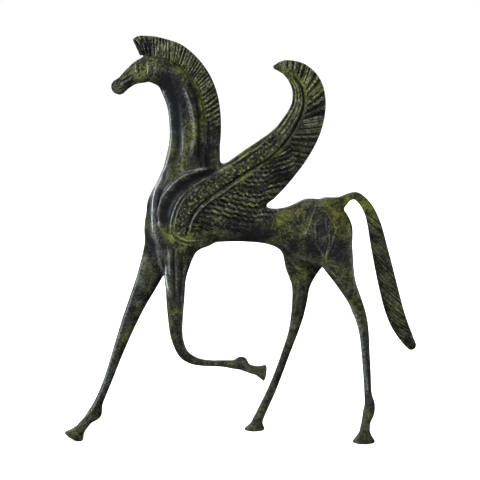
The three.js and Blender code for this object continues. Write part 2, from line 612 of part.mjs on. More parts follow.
// Edge collapse by quadric error, down to a number of triangles. Collapses that would fold or pinch the skin,
// or leave a sliver, are refused, so the body stays closed.
function simplify({ points, triangles }, target) {
  const faces = [];
  const around = Array.from({ length: points.length / 3 }, () => []);
  for (let i = 0; i < triangles.length; i += 3) {
    for (let c = 0; c < 3; c++) around[triangles[i + c]].push(faces.length);
    faces.push([triangles[i], triangles[i + 1], triangles[i + 2]]);
  }
  const at = (v) => [points[3 * v], points[3 * v + 1], points[3 * v + 2]];
  const cross = (a, b, c) => {
    const [ux, uy, uz] = [b[0] - a[0], b[1] - a[1], b[2] - a[2]];
    const [vx, vy, vz] = [c[0] - a[0], c[1] - a[1], c[2] - a[2]];
    return [uy * vz - uz * vy, uz * vx - ux * vz, ux * vy - uy * vx];
  };
  const quadrics = new Float64Array(around.length * 10);
  for (const face of faces) {
    const [a, b, c] = face.map(at);
    const n = cross(a, b, c);
    const twice = Math.hypot(...n) || 1e-12;
    const [x, y, z] = n.map((part) => part / twice);
    const d = -(x * a[0] + y * a[1] + z * a[2]);
    const onGround = Math.max(a[2], b[2], c[2]) < 1e-4;
    const weight = onGround || HEAD_BOX.containsPoint(new THREE.Vector3(...a)) ? CARE : 1;
    const terms = [x * x, x * y, x * z, x * d, y * y, y * z, y * d, z * z, z * d, d * d];
    for (const v of face) for (let t = 0; t < 10; t++) quadrics[v * 10 + t] += terms[t] * twice * weight / 2;
  }
  const PULL = 1e-3; // a weak pull to the edge's middle keeps flat stretches even
  const SHORT_FIRST = 1e-4; // and a small cost for length takes short edges before long ones
  const plan = (a, b) => {
    const q = new Float64Array(10);
    for (let t = 0; t < 10; t++) q[t] = quadrics[a * 10 + t] + quadrics[b * 10 + t];
    const pa = at(a);
    const pb = at(b);
    const mid = pa.map((part, m) => (part + pb[m]) / 2);
    const matrix = new THREE.Matrix3().set(
      q[0] + PULL, q[1], q[2], q[1], q[4] + PULL, q[5], q[2], q[5], q[7] + PULL);
    const best = new THREE.Vector3(PULL * mid[0] - q[3], PULL * mid[1] - q[6], PULL * mid[2] - q[8]);
    best.applyMatrix3(matrix.invert());
    const span = Math.hypot(pa[0] - pb[0], pa[1] - pb[1], pa[2] - pb[2]);
    if (Math.hypot(best.x - mid[0], best.y - mid[1], best.z - mid[2]) > span) best.fromArray(mid);
    const { x, y, z } = best;
    const cost = q[0] * x * x + q[4] * y * y + q[7] * z * z + q[9] +
      2 * (q[1] * x * y + q[2] * x * z + q[5] * y * z + q[3] * x + q[6] * y + q[8] * z);
    return { cost: cost + SHORT_FIRST * span * span, to: [x, y, z] };
  };

  const heap = [];
  const version = new Int32Array(around.length);
  const push = (a, b) => {
    const { cost, to } = plan(a, b);
    heap.push({ cost, to, a, b, va: version[a], vb: version[b] });
    let i = heap.length - 1;
    while (i > 0) {
      const up = (i - 1) >> 1;
      if (heap[up].cost <= heap[i].cost) break;
      [heap[up], heap[i]] = [heap[i], heap[up]];
      i = up;
    }
  };
  const pop = () => {
    const top = heap[0];
    const last = heap.pop();
    if (heap.length) {
      heap[0] = last;
      let i = 0;
      for (;;) {
        let low = 2 * i + 1;
        if (low >= heap.length) break;
        if (low + 1 < heap.length && heap[low + 1].cost < heap[low].cost) low++;
        if (heap[i].cost <= heap[low].cost) break;
        [heap[i], heap[low]] = [heap[low], heap[i]];
        i = low;
      }
    }
    return top;
  };
  const neighbours = (v) => {
    const ring = new Set();
    for (const f of around[v]) for (const w of faces[f]) if (w !== v) ring.add(w);
    return ring;
  };
  const FOLD = 0.3; // least cosine between a face's old and new normal
  const SLIVER = 0.06; // least area of a face, as a share of half its longest side squared
  const folds = (v, other, to) => around[v].some((f) => {
    if (faces[f].includes(other)) return false;
    const before = cross(...faces[f].map(at));
    const moved = faces[f].map((w) => (w === v ? to : at(w)));
    const after = cross(...moved);
    const length = ([x, y, z]) => Math.hypot(x, y, z);
    const side = (m) => length(moved[m].map((part, n) => part - moved[(m + 1) % 3][n]));
    if (length(after) < SLIVER * Math.max(side(0), side(1), side(2)) ** 2) return true;
    const dot = before[0] * after[0] + before[1] * after[1] + before[2] * after[2];
    return dot < FOLD * length(before) * length(after);
  });

  for (let v = 0; v < around.length; v++) for (const w of neighbours(v)) if (v < w) push(v, w);
  let alive = faces.length;
  while (alive > target && heap.length) {
    const { to, a, b, va, vb } = pop();
    if (va !== version[a] || vb !== version[b]) continue;
    const ringA = neighbours(a);
    const ringB = neighbours(b);
    if ([...ringA].filter((w) => ringB.has(w)).length !== 2) continue;
    if (folds(a, b, to) || folds(b, a, to)) continue;
    for (let m = 0; m < 3; m++) points[3 * a + m] = to[m];
    for (let t = 0; t < 10; t++) quadrics[a * 10 + t] += quadrics[b * 10 + t];
    for (const f of around[b]) {
      if (faces[f].includes(a)) {
        for (const w of faces[f]) if (w !== b) around[w] = around[w].filter((g) => g !== f);
        faces[f] = null;
        alive--;
      } else {
        faces[f] = faces[f].map((w) => (w === b ? a : w));
        around[a].push(f);
      }
    }
    around[b] = [];
    version[b] = -1;
    version[a]++;
    for (const w of neighbours(a)) push(a, w);
  }
  const renumber = new Map();
  const kept = [];
  const result = [];
  for (const face of faces) {
    if (!face) continue;
    for (const v of face) {
      if (!renumber.has(v)) {
        renumber.set(v, kept.length / 3);
        kept.push(...at(v));
      }
      result.push(renumber.get(v));
    }
  }
  return { points: kept, triangles: result };
}

const wasm = await Module();
wasm.setup();

function toSolid(points, triangles) {
  return new wasm.Manifold(new wasm.Mesh({
    numProp: 3, vertProperties: Float32Array.from(points), triVerts: Uint32Array.from(triangles),
  }));
}

// Everything below the ground, which is cut off to level the soles.
function groundBlock({ min, max }) {
  const block = new THREE.BoxGeometry(2 * (max.x - min.x), 2 * (max.y - min.y), -2 * min.z);
  block.translate(0, 0, min.z);
  const corners = new Map();
  const points = [];
  const triangles = [];
  const position = block.getAttribute('position');
  for (const v of block.index.array) {
    const key = [position.getX(v), position.getY(v), position.getZ(v)];
    if (!corners.has(key.join())) {
      corners.set(key.join(), points.length / 3);
      points.push(...key);
    }
    triangles.push(corners.get(key.join()));
  }
  return toSolid(points, triangles);
}

function buildCasting() {
  const room = new THREE.Box3(new THREE.Vector3(-155, -37, -6), new THREE.Vector3(157, 37, 345));
  const skin = drawSurface(bodyDistance, room, GRID);
  carve(skin.points);
  const cut = toSolid(skin.points, skin.triangles).subtract(groundBlock(room)).getMesh();
  const dense = { points: Float64Array.from(cut.vertProperties), triangles: cut.triVerts };
  const light = simplify(dense, TRIANGLES);
  const geometry = new THREE.BufferGeometry();
  const position = new THREE.Float32BufferAttribute(light.points, 3);
  for (let i = 0; i < position.count; i++) if (position.getZ(i) < LEVEL) position.setZ(i, 0);
  geometry.setAttribute('position', position);
  geometry.setIndex(light.triangles);
  geometry.computeBoundingBox();
  const centre = geometry.boundingBox.getCenter(new THREE.Vector3());
  geometry.translate(-centre.x, -centre.y, 0);
  geometry.computeVertexNormals();
  return geometry;
}

const bronze = new THREE.MeshStandardMaterial({
  color: 0x2c3022, roughness: 0.42, metalness: 0.85, flatShading: true,
});

const pegasus = new THREE.Mesh(buildCasting(), bronze);
pegasus.name = 'pegasus';

const sculpture = new THREE.Group();
sculpture.add(pegasus);

export default sculpture;
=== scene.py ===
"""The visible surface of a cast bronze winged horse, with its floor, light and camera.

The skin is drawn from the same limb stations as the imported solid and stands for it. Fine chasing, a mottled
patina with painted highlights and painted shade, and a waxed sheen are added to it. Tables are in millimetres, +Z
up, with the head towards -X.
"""

import math
from functools import partialmethod

import bpy
import numpy as np
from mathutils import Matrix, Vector


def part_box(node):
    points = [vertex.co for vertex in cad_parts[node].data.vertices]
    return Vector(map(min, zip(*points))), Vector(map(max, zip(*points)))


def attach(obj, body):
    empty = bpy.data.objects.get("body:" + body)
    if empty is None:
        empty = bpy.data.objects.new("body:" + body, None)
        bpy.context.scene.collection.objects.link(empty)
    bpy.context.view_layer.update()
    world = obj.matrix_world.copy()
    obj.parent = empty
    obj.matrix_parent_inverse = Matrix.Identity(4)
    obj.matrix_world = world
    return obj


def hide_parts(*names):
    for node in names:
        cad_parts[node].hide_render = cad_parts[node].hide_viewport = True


bl_info = {
    "name": "Bronze winged horse",
    "version": (1, 0, 0),
    "blender": (4, 5, 0),
    "location": "3D View > Sidebar > Winged horse",
    "description": "Builds the chased and patinated surface of a cast bronze winged horse",
    "category": "Object",
}

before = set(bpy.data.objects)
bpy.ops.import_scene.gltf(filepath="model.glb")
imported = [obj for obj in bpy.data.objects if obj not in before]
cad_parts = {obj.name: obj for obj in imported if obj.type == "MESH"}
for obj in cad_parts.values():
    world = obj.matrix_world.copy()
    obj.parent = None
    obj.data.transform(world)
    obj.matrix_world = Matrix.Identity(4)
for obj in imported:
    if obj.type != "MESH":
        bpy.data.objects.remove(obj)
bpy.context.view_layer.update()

PIECE = "bronze_winged_horse"
NODE = "pegasus"
MM = 0.001

# How finely the skin is drawn: the spacing of the lattice that it is drawn on, the steps between two stations of a
# limb, how many triangles are kept, and how many cells make up a block
LATTICE = 0.55
SPAN_STEPS = 6
SKIN_TRIANGLES = 196_000
BLOCK = 4
# How far inside the skin a filled corner lies, in cells, and how far apart the skin's slope is measured
FILL = 0.05
SLOPE_STEP = 0.08
# Nothing is as far off as FAR. A limb is looked at within NEAR of it, and ROOM holds the whole figure.
FAR = 60.0
NEAR = 16.0
ROOM = np.array([[-155.0, -37.0, -6.0], [157.0, 37.0, 345.0]])

# Where the lights are turned to, in metres
LIT_POINT = Vector((0, 0, 0.17))

# Soles and hooves
SOLE_INSET = 0.7
SOLE_EDGE = 1.5
HOOF_FLARE = 1.9
HOOF_BLEND = 1.5


def rows(text, width):
    """The numbers of a table, so many to a row."""
    return np.array(text.split(), float).reshape(-1, width)


# Limbs. A row is a station: x, z, half-width before and behind the centre line, y, and half the thickness.
# "blend" is how widely a limb melts into the ones before it, "section" the power of its oval section, unless 2.2.
LIMBS = {
    "neck": dict(blend=6, rows=rows("""
        -68.5 312.5 11.5 10 0 7.2   -58 305.5 14.5 12 0 7.6   -51 295.5 16.5 13.6 0 8.2
        -45.5 283 16.5 14.9 0 8.8   -42.5 267.5 16.5 16 0 9.4   -42 252 16.3 16.8 0 10.2
        -44 235 18.6 18.6 0 11.2   -45 215 25.8 25 0 12.2   -49 197 28 29 0 12.8   -53 184 19 27 0 12.4""", 6)),
    "barrel": dict(blend=9, rows=rows("""
        -41.5 186 16.6 16.6 0 12   -23.5 189 20.1 20.1 0 12.4   0 186.5 17.6 17.6 0 12
        22 182 15.2 15 0 11   37 179.5 18.8 17.8 0 11.2   50.5 178.2 25.6 23.3 0 12.2
        59 178 26.6 25.6 0 13   67 178 26 26 0 13""", 6)),
    "near_hind": dict(blend=7, rows=rows("""
        74.5 173 18.6 18.6 -4 9.5   80 155.5 14.4 15 -7 9   87.5 136 8.2 9 -10 7.6
        94.5 120.5 5.9 6.1 -12.5 6.4   99.5 108.5 4.6 5.7 -14 5.4   103 94.5 3.4 4.5 -15.5 4.4
        104.5 76 2.7 3.7 -17.5 3.9   105.5 57 2.7 3.7 -19 3.7   106 42 2.8 3.7 -20.5 3.8
        107.5 32 4 5 -21.5 4.2   106.5 25 4.6 5.4 -22 4.3   104 17.5 3.9 3.9 -22.5 4
        103 11.5 3.8 3.8 -23 4.2""", 6)),
    "far_hind": dict(blend=11, rows=rows("""
        54 166.5 19 18 5 9   52.5 148 19 14.4 8 8.2   53 129.5 8.4 8.4 11 7   52.5 114.5 5.9 7.1 13 6.2
        51 102 4.9 6.3 14.5 5.4   47.5 86.5 3.7 4.6 16.5 4.6   42.5 70.5 3 4.2 18 4.2
        36.5 52.5 3 4 20 3.9   29.5 34.5 3.4 4.1 21 3.8   23.5 21 3.5 4.4 21.5 3.9   17 7.5 4.3 4.3 22 4""", 6)),
    "far_fore": dict(blend=6, rows=rows("""
        -65.5 174 11.6 13.2 3 10   -71 155 12.4 11.4 6 8.6   -78 135.5 9.7 9.8 7 7.4
        -85 117.5 6.4 9 7.5 6.4   -92 101.5 5.3 7.7 7.5 5.6   -99 84.5 4.5 6.1 7.5 4.8
        -105.5 67.5 3.8 4.8 7.5 4.2   -111 52.5 3.4 4.2 7.5 3.8   -116 40.5 3.3 3.9 7.5 3.6
        -120.5 31 4.2 4 7.5 3.9   -124 23.5 6.9 5 7.5 4.2   -129 18 4.8 3.8 7.5 3.9
        -133.5 12.5 3.9 3.9 7.5 4.2""", 6)),
    "near_fore": dict(blend=4, rows=rows("""
        -52.5 175 34 14.2 -3 10   -52.8 169 28 13.3 -3.8 9.7   -53 166 20.2 12.7 -4.2 9.5
        -53.3 162.5 15.8 12 -4.7 9.3   -53.8 157 13.4 10.9 -5.5 8.9   -54.2 150 11.1 10 -6.6 8.3
        -54.5 139 8.1 9.2 -8.5 7.6   -55 124 7.4 8.1 -10 6.8   -55 110 6.1 7.1 -11 6
        -54.5 96.5 5 6.1 -12 5.4   -52.5 86.5 4.2 5.4 -12.5 5   -48.5 77.5 3.9 4.7 -13 4.6
        -42 72.4 3.7 3.7 -13.5 4.2   -34 70 3 2.9 -14 3.9   -25 69.1 2.7 2.6 -14 3.6
        -15.5 68.6 3 3 -14 3.6   -7.5 68 3.6 4.2 -14 3.8   -1 68.2 6.2 5.8 -14 4.1   3.6 65.4 3.5 4.6 -14 4
        8.5 62.9 3 3.9 -14 3.9""", 6)),
    "head": dict(blend=5, rows=rows("""
        -99 298 6.6 6.6 0 4.8   -95 301 6.1 6 0 5.4   -89 306 7.4 7.4 0 6.6   -82.4 309.6 9.5 9.5 0 7.4
        -75 312 10.5 10.2 0 7.6   -67 311.4 11 10.6 0 7.4""", 6)),
    "tail": dict(blend=3, section=2.4, rows=rows("""
        72 199.5 5.9 5.9 0 8   82.5 200.5 5 6 0 5.2   91 205 3.5 3 0 3.6   97.5 205.5 3.8 3.1 0 3.2
        104 200 4.3 3.9 0 3.4   109.3 191.5 5 4.7 0 3.7   113.8 179 5.9 6.2 0 4   117.6 162 6.9 7 0 4.3
        122 144 7.6 7.7 0 4.6   126.3 126 8.1 7.9 0 4.6   131.5 109.5 7.5 8.5 0 4.4
        136.5 96 6.9 7.8 0 3.8   142.5 84 5.8 6 0 3   147 77 4.3 4.5 0 2.2""", 6)),
    "mane": dict(blend=1.6, section=3, square_start=True, rows=rows("""
        -84.9 329.3 6.6 7.4 0 2.9   -81.8 330.6 8 7.8 0 3.1   -77.5 330.9 7.8 8 0 3.4
        -71.5 330.5 7.8 7.8 0 3.8   -62.5 328 8.3 8.3 0 4.2   -52 324.5 8 8 0 4.4   -42.5 318 7.2 7.7 0 4.5
        -34.5 309.5 6.6 7.3 0 4.6   -28.5 299.5 6.3 7 0 4.8   -24.5 288 6.1 6.7 0 5
        -22.5 275.5 5.9 6.5 0 5.2   -21.5 262 5.3 5.9 0 5.4   -22.5 248 5.3 5.3 0 5.8   -23 233 6 6 0 6.5""", 6)),
    # the centre line is the quill: the first width reaches the leading edge, the second the trailing edge
    "wing": dict(blend=5, section=2.6, rows=rows("""
        -44 174 14.1 6.6 0 13.2   -41.5 186 15.8 13.3 0 13.4   -36.5 195.5 16.6 21.6 0 13.4
        -28.5 205 16.6 27.4 0 13   -16.5 212.5 18.7 30.7 0 12.2   -1.5 222 16.9 30.8 0 9.6
        11.5 231 16.7 30.8 0 7.2   25 240.5 16.2 27 0 5.8   37.5 251.5 15 23 0 5
        47.5 265.5 13.6 20.2 0 4.4   53 281 11.3 17.8 0 3.9   52.5 295 10 15.9 0 3.5
        47 305.5 8.4 12.5 0 3.1   39.5 311.5 6.5 7.9 0 2.7   32.5 313 3.8 5 0 2.2   29 313 2 2.5 0 1.8""", 6)),
}

# Hooves: the ankle, the middle of the sole, the sole's lean in degrees from level, and three radii: the ankle's,
# and the sole's along and across the body.
HOOVES = [
    ((103.2, -23, 14), (102, -23, 0), 0, (3.7, 10.4, 9.4)),  # near hind
    ((18, 22, 11), (14.2, 22, 0), 0, (4, 9.8, 8.8)),  # far hind
    ((-132, 7.5, 14), (-141.8, 7.5, 2.8), 27, (4, 9.2, 8.6)),  # far fore
    ((8.2, -14, 62.9), (19, -14, 59.6), -80, (3.6, 7.7, 7.4)),  # near fore
]

# Where the carving fades out. Four numbers are a fade: it rises from the first to the second and falls from
# the third to the fourth. "Across" is a share of the half-width, "along" a share of the length.
MANE_LEAN = 0.25
MANE_ACROSS = (-1.05, -0.8, 1.3, 1.6)
MANE_END = (4, 14)
MANE_PLAIN = (24, 46)
MANE_COARSE = (70, 0.62)
FEATHER_ACROSS = (0.05, 0.14, 1.2, 1.4)
FEATHER_ALONG = (0.02, 0.06, 0.94, 0.99)
# The feathers are straight and open like a fan: where each is rooted along the quill, and its rise in degrees.
FEATHER_RISE = ((0, -26), (0.26, -28), (0.54, -14), (0.68, 8), (0.78, 42), (0.88, 72), (1, 100))
LEADING_ACROSS = (0.26, 0.38, 0.88, 0.98)
LEADING_SPREAD = 12
LEADING_ALONG = (0.3, 0.4, 0.88, 0.95)
TAIL_LEAN = 32
TAIL_ROOT = (38, 56)
TAIL_TIP = (1, 6)
TAIL_EDGE = (1.3, 1.6)
SIDES = (0.15, 0.6)
TAPER = 3
COVERT_LINE = "-49 181 -48 192 -42 203 -31 212 -15 222 2 232 17 243 30 256"
COVERT_HALF = (3.5, 6.5)

# Chased lines: height above the skin (a groove is negative), half-width, which sides have it, and the x and z of
# each point that it runs through.
LINES = [
    # the roll down the front of the neck and chest, on to the lifted foreleg
    (1, 1.6, "both", "-65 296 -60.5 287 -58.2 276 -57.6 262 -58 250 -61.5 234 -66 224"),
    (1.9, 3.5, "both", "-62.5 233 -67.5 221 -71.3 210.5 -72.6 200 -72.8 188 -72 178 -69.4 170.7"
        " -67.6 160 -64.8 148 -61.5 136 -59 122"),
    (-0.8, 1.4, "both", "-64 216 -68.6 203 -69 186"),
    # hollows and ridges along the neck
    (-1.3, 5, "both", "-58 312 -57 300 -53.5 284 -52 268 -52.5 250 -58 228"),
    (0.3, 2.2, "both", "-48.5 264 -47.6 254.7 -48.3 234 -51 224"),
    (0.9, 2, "both", "-48 299 -46.6 294 -42.6 283.1 -40.6 272 -38.9 262 -40.4 252 -42 240"),
    (-1.4, 3, "both", "-46 306 -39 296 -35.8 283 -34.6 267 -35.1 244 -37 234"),
    (-0.7, 0.9, "both", "-73.5 322.3 -59 319.6 -47 311 -38 299.5 -32.5 286 -29.3 268"),
    # the double cord around the wing's root, and the channel behind it
    (1.3, 2.3, "both", "-24 231 -37.5 229.8 -47 226.8 -56 220 -63 212 -67.5 203.5 -69.4 195.5 -68.3 187"
        " -65.5 180"),
    (-1, 0.8, "near", "-38 230 -48 227 -56.8 220.3 -63.8 212 -68.3 203.5 -70.2 195.5 -69.2 186"),
    (-1.8, 4.6, "both", "-16 230 -30 226.5 -42 221.5 -52.5 214 -59.5 204 -63 194.5 -62.5 183.5"),
    # the inner line that runs up the blade, doubled on the shoulder
    (0.7, 0.9, "both", "41 283 34 269 21.5 254.5 8.5 244 -5.5 235.5 -21 228.2 -35 220.3 -47.6 211.1"
        " -54.2 201.3 -57.8 190.6 -59.3 180.6"),
    (0.6, 0.7, "near", "-34 217 -46 208.5 -51.2 200 -54.5 190.5 -56 180.5"),
    # the quill and the rolled ends of the feathers along it
    (-1.8, 1.5, "both", "-47.5 174 -46 181 -43.8 187 -39.4 196.9 -31.2 205.1 -18.8 213.6 -3 224"
        " 10.5 231.5 23.5 239.5 36 251.5 45 264.5 51 278.5 51.6 289 49 298.5 42 307"),
    (0.8, 0.9, "both", "-43.6 180 -41.3 189 -36 197 -28 204 -16 211.8 -2 221"),
    # folds at the elbow, and flutes down the lifted foreleg
    (0.6, 0.9, "near", "-60 178 -54 173 -47.5 170 -38 169.5"),
    (0.6, 0.9, "near", "-58 181 -51.5 175.6 -45 173 -34 172.8"),
    (-0.6, 0.9, "near", "-59 179.6 -53 174.4 -46 171.6 -36 171.2"),
    (0.2, 1.5, "near", "-60 167 -59.8 154.5 -59.6 139.5 -58 120"),
    (0.3, 1.4, "near", "-53.6 167 -53.6 154.5 -53.8 139.5 -53.5 118"),
    (-0.9, 1.6, "near", "-56.2 169 -56.3 150 -56 122"),
    (-0.7, 1.4, "near", "-50 163 -50 150 -51 128"),
    (0.6, 1.1, "both", "-46.5 154.5 -49 139.5 -50 123 -50.8 106 -50.5 91.5 -47.5 82.5 -42.5 77"),
    # shins and the edges of the hind legs
    (0.7, 1.1, "both", "-80 158 -84 144.5 -88.5 129.5 -94 114 -99 99 -104 83 -109.5 66.5 -113.5 53"
        " -118.5 40 -125 27.5 -132 20"),
    (1.2, 1.6, "both", "88 119 92.5 111.5 96.3 105 98.8 96 100.7 84 102 72 103.4 56 104.3 39.5"),
    (0.6, 1.4, "both", "89.5 185.5 91 170.5 91.5 153.5 93.5 139 98 125.5 103.5 111.5 105.5 98"),
    (0.5, 1.8, "both", "33 170.5 41 162 49 156 60 151.5 70 147.5 77 142 82 134"),
    (-1, 2.4, "near", "54 148 62 145.5 70 140 77 131"),
    (0.5, 1.3, "both", "49.5 137.5 49 119.5 46.5 100.5 43 86.5 38.5 73 33 57 26 39.5 20 25.5"),
    # small curls on the stifle
    (0.5, 0.7, "near", "41 156 45.5 148.5 50 145 54.5 144.5"),
    (0.6, 0.7, "near", "47 147.5 51 145 55 145"),
    # cheek, mouth and the strokes down the face
    (1, 1, "both", "-76.4 318.5 -75.7 313 -76.2 306"),
    (0.4, 0.8, "both", "-69.4 317.5 -69.9 309.5"),
    (-0.9, 1.6, "both", "-73 318 -72.4 310 -74.5 302"),
    (-1.3, 1.3, "both", "-84.2 319 -83.4 314 -82.8 307.5"),
    (0.8, 0.8, "both", "-86.2 317.5 -85.6 313 -84.6 308"),
    (-0.9, 0.8, "both", "-103 294.5 -100 295.2 -97.5 296.5 -93 299"),
    (1, 0.9, "both", "-102.5 303 -97 308 -91 314"),
    (0.9, 0.8, "both", "-98.5 299 -93.5 302.5 -87.5 306"),
    (0.7, 0.7, "both", "-96.5 303.8 -91.5 307.2 -86.5 309.8"),
    (-0.9, 0.8, "both", "-98.5 301.8 -93 305.2 -88 307.8"),
    (-0.8, 0.8, "both", "-97 306 -91.5 310 -87 313"),
    (0.6, 0.8, "both", "-90 299.5 -84 301 -78 300.5"),
    # the tuft between the ears
    (-0.9, 1, "both", "-85.5 335.5 -81 323"),
    (-0.9, 1, "both", "-81.2 338 -78.2 322.5"),
    (-0.9, 1, "both", "-76.8 339 -75.9 322"),
    (-0.9, 1, "both", "-72.4 339 -73.6 321.5"),
]

# The pointed ornament on the haunch, on the near side alone: straight lines, with the x and z of each point
ORNAMENT_HEIGHT = 0.65
ORNAMENT_HALF = 0.65
ORNAMENT = [
    "62.5 202 58.5 192 55.5 183.5 53 176",
    "60.5 185.4 61.2 169 69.3 155.7 74.5 168.5 78.3 181",
    "68.9 192 69.9 179",
    "71.8 180 72.5 170 69.3 156",
    "62.5 202 69.5 194 75 187 78.3 180",
    "49.5 177 57 177",
    "53 180.5 53 173",
]

# Round bosses and pits: x, z, radius and height. The beads run down the lower mane.
SPOTS = [
    *rows("""
        -83.2 313.3 1.2 0.8   -100.8 300.4 1.4 -0.8   41.4 155.4 1.6 0.7   -33.7 201.2 1.7 0.7
        -38.6 194.6 1.7 0.7   -41.2 190 1.6 0.7   -43.6 184.4 1.6 0.7""", 4),
    *((-28.8 + 0.4 * math.sin(bead), 267 - 2.3 * bead, 0.9, 0.5) for bead in range(9)),
]

# Where the green bloom of the patina lies thickest: x, z, radius and strength
BLOOM = rows("""
    36 190 15 0.62   28 184 9 0.4   84 196 12 1.4   82 183 8 0.9   69 158 5 0.7   56 184 4 0.6
    -56 180 9 0.9   -47 174 8 0.8   -56 246 7 0.7   -52 238 6 0.6   -36 256 7 0.9   -33 266 6 0.7
    -78 314 9 0.5   -62 326 8 0.6   -45 314 10 0.6   -58 320.5 4 0.8   -50 316 4 0.8   -43 309.5 4 0.9
    -38 301.5 4 0.9   -34 292 4 0.8   -31 283 4 0.8   -29 274 4 0.8   -30 292 9 0.7   58 296 12 1.1
    46 309 9 0.9   70 306 8 0.7   22 244 11 0.8   -1 229 9 0.7   8 245 9 0.6   90 142 8 0.5   50 140 9 0.6
    94 122 7 0.6   108 198 9 0.9   112 186 7 0.6   133 104 12 0.5   122 140 10 0.4   -60 118 9 0.5
    -104 86 9 0.5""", 4)

# Where the bronze is darkest, with a violet cast, partly a darker patina and partly painted shade, in the channels
# of the neck and wing root, on the chest, under the belly and down the legs: x, z, radius and strength
DARK_AND_SHADE = rows("""
    -63 307 7 0.8   -57 299 9 1   -54 287 8 1   -52 275 7 0.8   -53 262 5 0.5   -34 243 8 1   -23 256 9 0.7
    -62 190 5 1   -61.5 199 5 1   -56 210 5 1   -48 218 5 1   -38 224 5 1   -26 228 5 1   -65 225 5 0.6
    -88 130 9 0.5   -97 105 9 0.4   -112 62 9 0.6   -50 100 9 0.5   -70 204 4 0.6   -70 190 4 0.6
    8 177 14 0.9   -8 184 9 0.6   66 184 8 0.8   60 166 9 0.7   82 162 8 0.8   40 164 8 0.6   28 222 12 0.8
    63 276 8 0.8   -106 298 4 0.8   -77 330 6 0.6   103 60 14 0.5   -120 40 12 0.7   -56 150 9 0.8
    30 50 14 0.4   -73 168 8 0.7   -72 212 7 1   -74 198 7 0.6   -66 236 8 0.7   -62 255 6 0.6
    -60 268 6 0.5   -95 118 8 0.5   -104 84 8 0.5   -52 128 9 0.6   -51 82 8 0.6   -30 68 10 0.4
    24 196 6 0.7   44 184 5 0.6   104 84 10 0.5""", 4)


def smooth_min(a, b, blend):
    h = np.maximum(blend - np.abs(a - b), 0) / blend
    return np.minimum(a, b) - h * h * blend / 4


def smoothstep(value, low, high):
    t = np.clip((value - low) / (high - low), 0, 1)
    return t * t * (3 - 2 * t)


def fade(value, edges):
    return smoothstep(value, edges[0], edges[1]) * (1 - smoothstep(value, edges[2], edges[3]))


def eased(table, value):
    result = np.full(len(value), float(table[0][1]))
    for (from_t, from_v), (to_t, to_v) in zip(table, table[1:]):
        result += (to_v - from_v) * smoothstep(value, from_t, to_t)
    return result


def smooth_rows(table, steps=4):
    """The rows of a table, with more rows between them on smooth curves through them all."""
    ends = np.vstack([2 * table[0] - table[1], table, 2 * table[-1] - table[-2]])
    t = np.linspace(0, 1, steps, endpoint=False)[:, None]
    parts = []
    for a, b, c, d in zip(ends, ends[1:], ends[2:], ends[3:]):
        parts.append(0.5 * (2 * b + (c - a) * t + (2 * a - 5 * b + 4 * c - d) * t**2
                            + (3 * b - a - 3 * c + d) * t**3))
    return np.vstack([*parts, table[-1:]])


def nearest_span(starts, runs, x, z):
    """Each point's distance to a chain of straight spans, which span is nearest, and its share of the way along."""
    nearest = np.full(len(x), np.inf)
    which = np.zeros(len(x), int)
    share = np.zeros(len(x))
    for i, ((ax, az), (sx, sz)) in enumerate(zip(starts, runs)):
        dx, dz = x - ax, z - az
        t = np.clip((dx * sx + dz * sz) / (sx * sx + sz * sz), 0, 1)
        gap = (dx - t * sx) ** 2 + (dz - t * sz) ** 2
        closer = gap < nearest
        nearest[closer], which[closer], share[closer] = gap[closer], i, t[closer]
    return np.sqrt(nearest), which, share


class Limb:
    """Stations joined by smooth curves and swept with an oval section."""

    def __init__(self, rows, blend, section=2.2, square_start=False):
        ribs = smooth_rows(rows, SPAN_STEPS)
        self.blend, self.section, self.square_start = blend, section, square_start
        self.start, self.end = ribs[:-1], ribs[1:]
        self.run = self.end[:, :2] - self.start[:, :2]
        self.span = np.hypot(*self.run.T)
        self.arc = np.concatenate([[0], np.cumsum(self.span)])
        self.length = self.arc[-1]
        reach = ribs[:, 2:4].max()
        self.low = ribs[:, :2].min(0) - reach
        self.high = ribs[:, :2].max(0) + reach

    def near(self, x, z, margin=NEAR):
        return ((x > self.low[0] - margin) & (x < self.high[0] + margin)
                & (z > self.low[1] - margin) & (z < self.high[1] + margin))

    def locate(self, x, z):
        """A point's place along and across the limb, and the limb's girth there. "Across" is positive before it."""
        gap, which, share = nearest_span(self.start[:, :2], self.run, x, z)
        start = self.start[which]
        rib = start + (self.end[which] - start) * share[:, None]
        sx, sz = self.run[which].T
        before = sx * (z - start[:, 1]) - sz * (x - start[:, 0]) > 0
        return {
            "across": gap * np.where(before, 1, -1),
            "width": np.where(before, rib[:, 2], rib[:, 3]),
            "arc": self.arc[which] + self.span[which] * share,
            "y": rib[:, 4],
            "half": rib[:, 5],
        }

    def distance(self, x, y, z, spot):
        u = np.abs(spot["across"]) / spot["width"]
        v = np.abs(y - spot["y"]) / spot["half"]
        level = (u**self.section + v**self.section) ** (1 / self.section) + 1e-9
        slope = np.hypot((u / level) ** (self.section - 1) / spot["width"],
                         (v / level) ** (self.section - 1) / spot["half"])
        distance = np.maximum((level - 1) / (slope + 1e-9), -np.minimum(spot["width"], spot["half"]))
        if self.square_start:
            (ax, az), (sx, sz) = self.start[0, :2], self.run[0]
            distance = np.maximum(distance, -((x - ax) * sx + (z - az) * sz) / self.span[0])
        return distance


limbs = {name: Limb(**limb) for name, limb in LIMBS.items()}


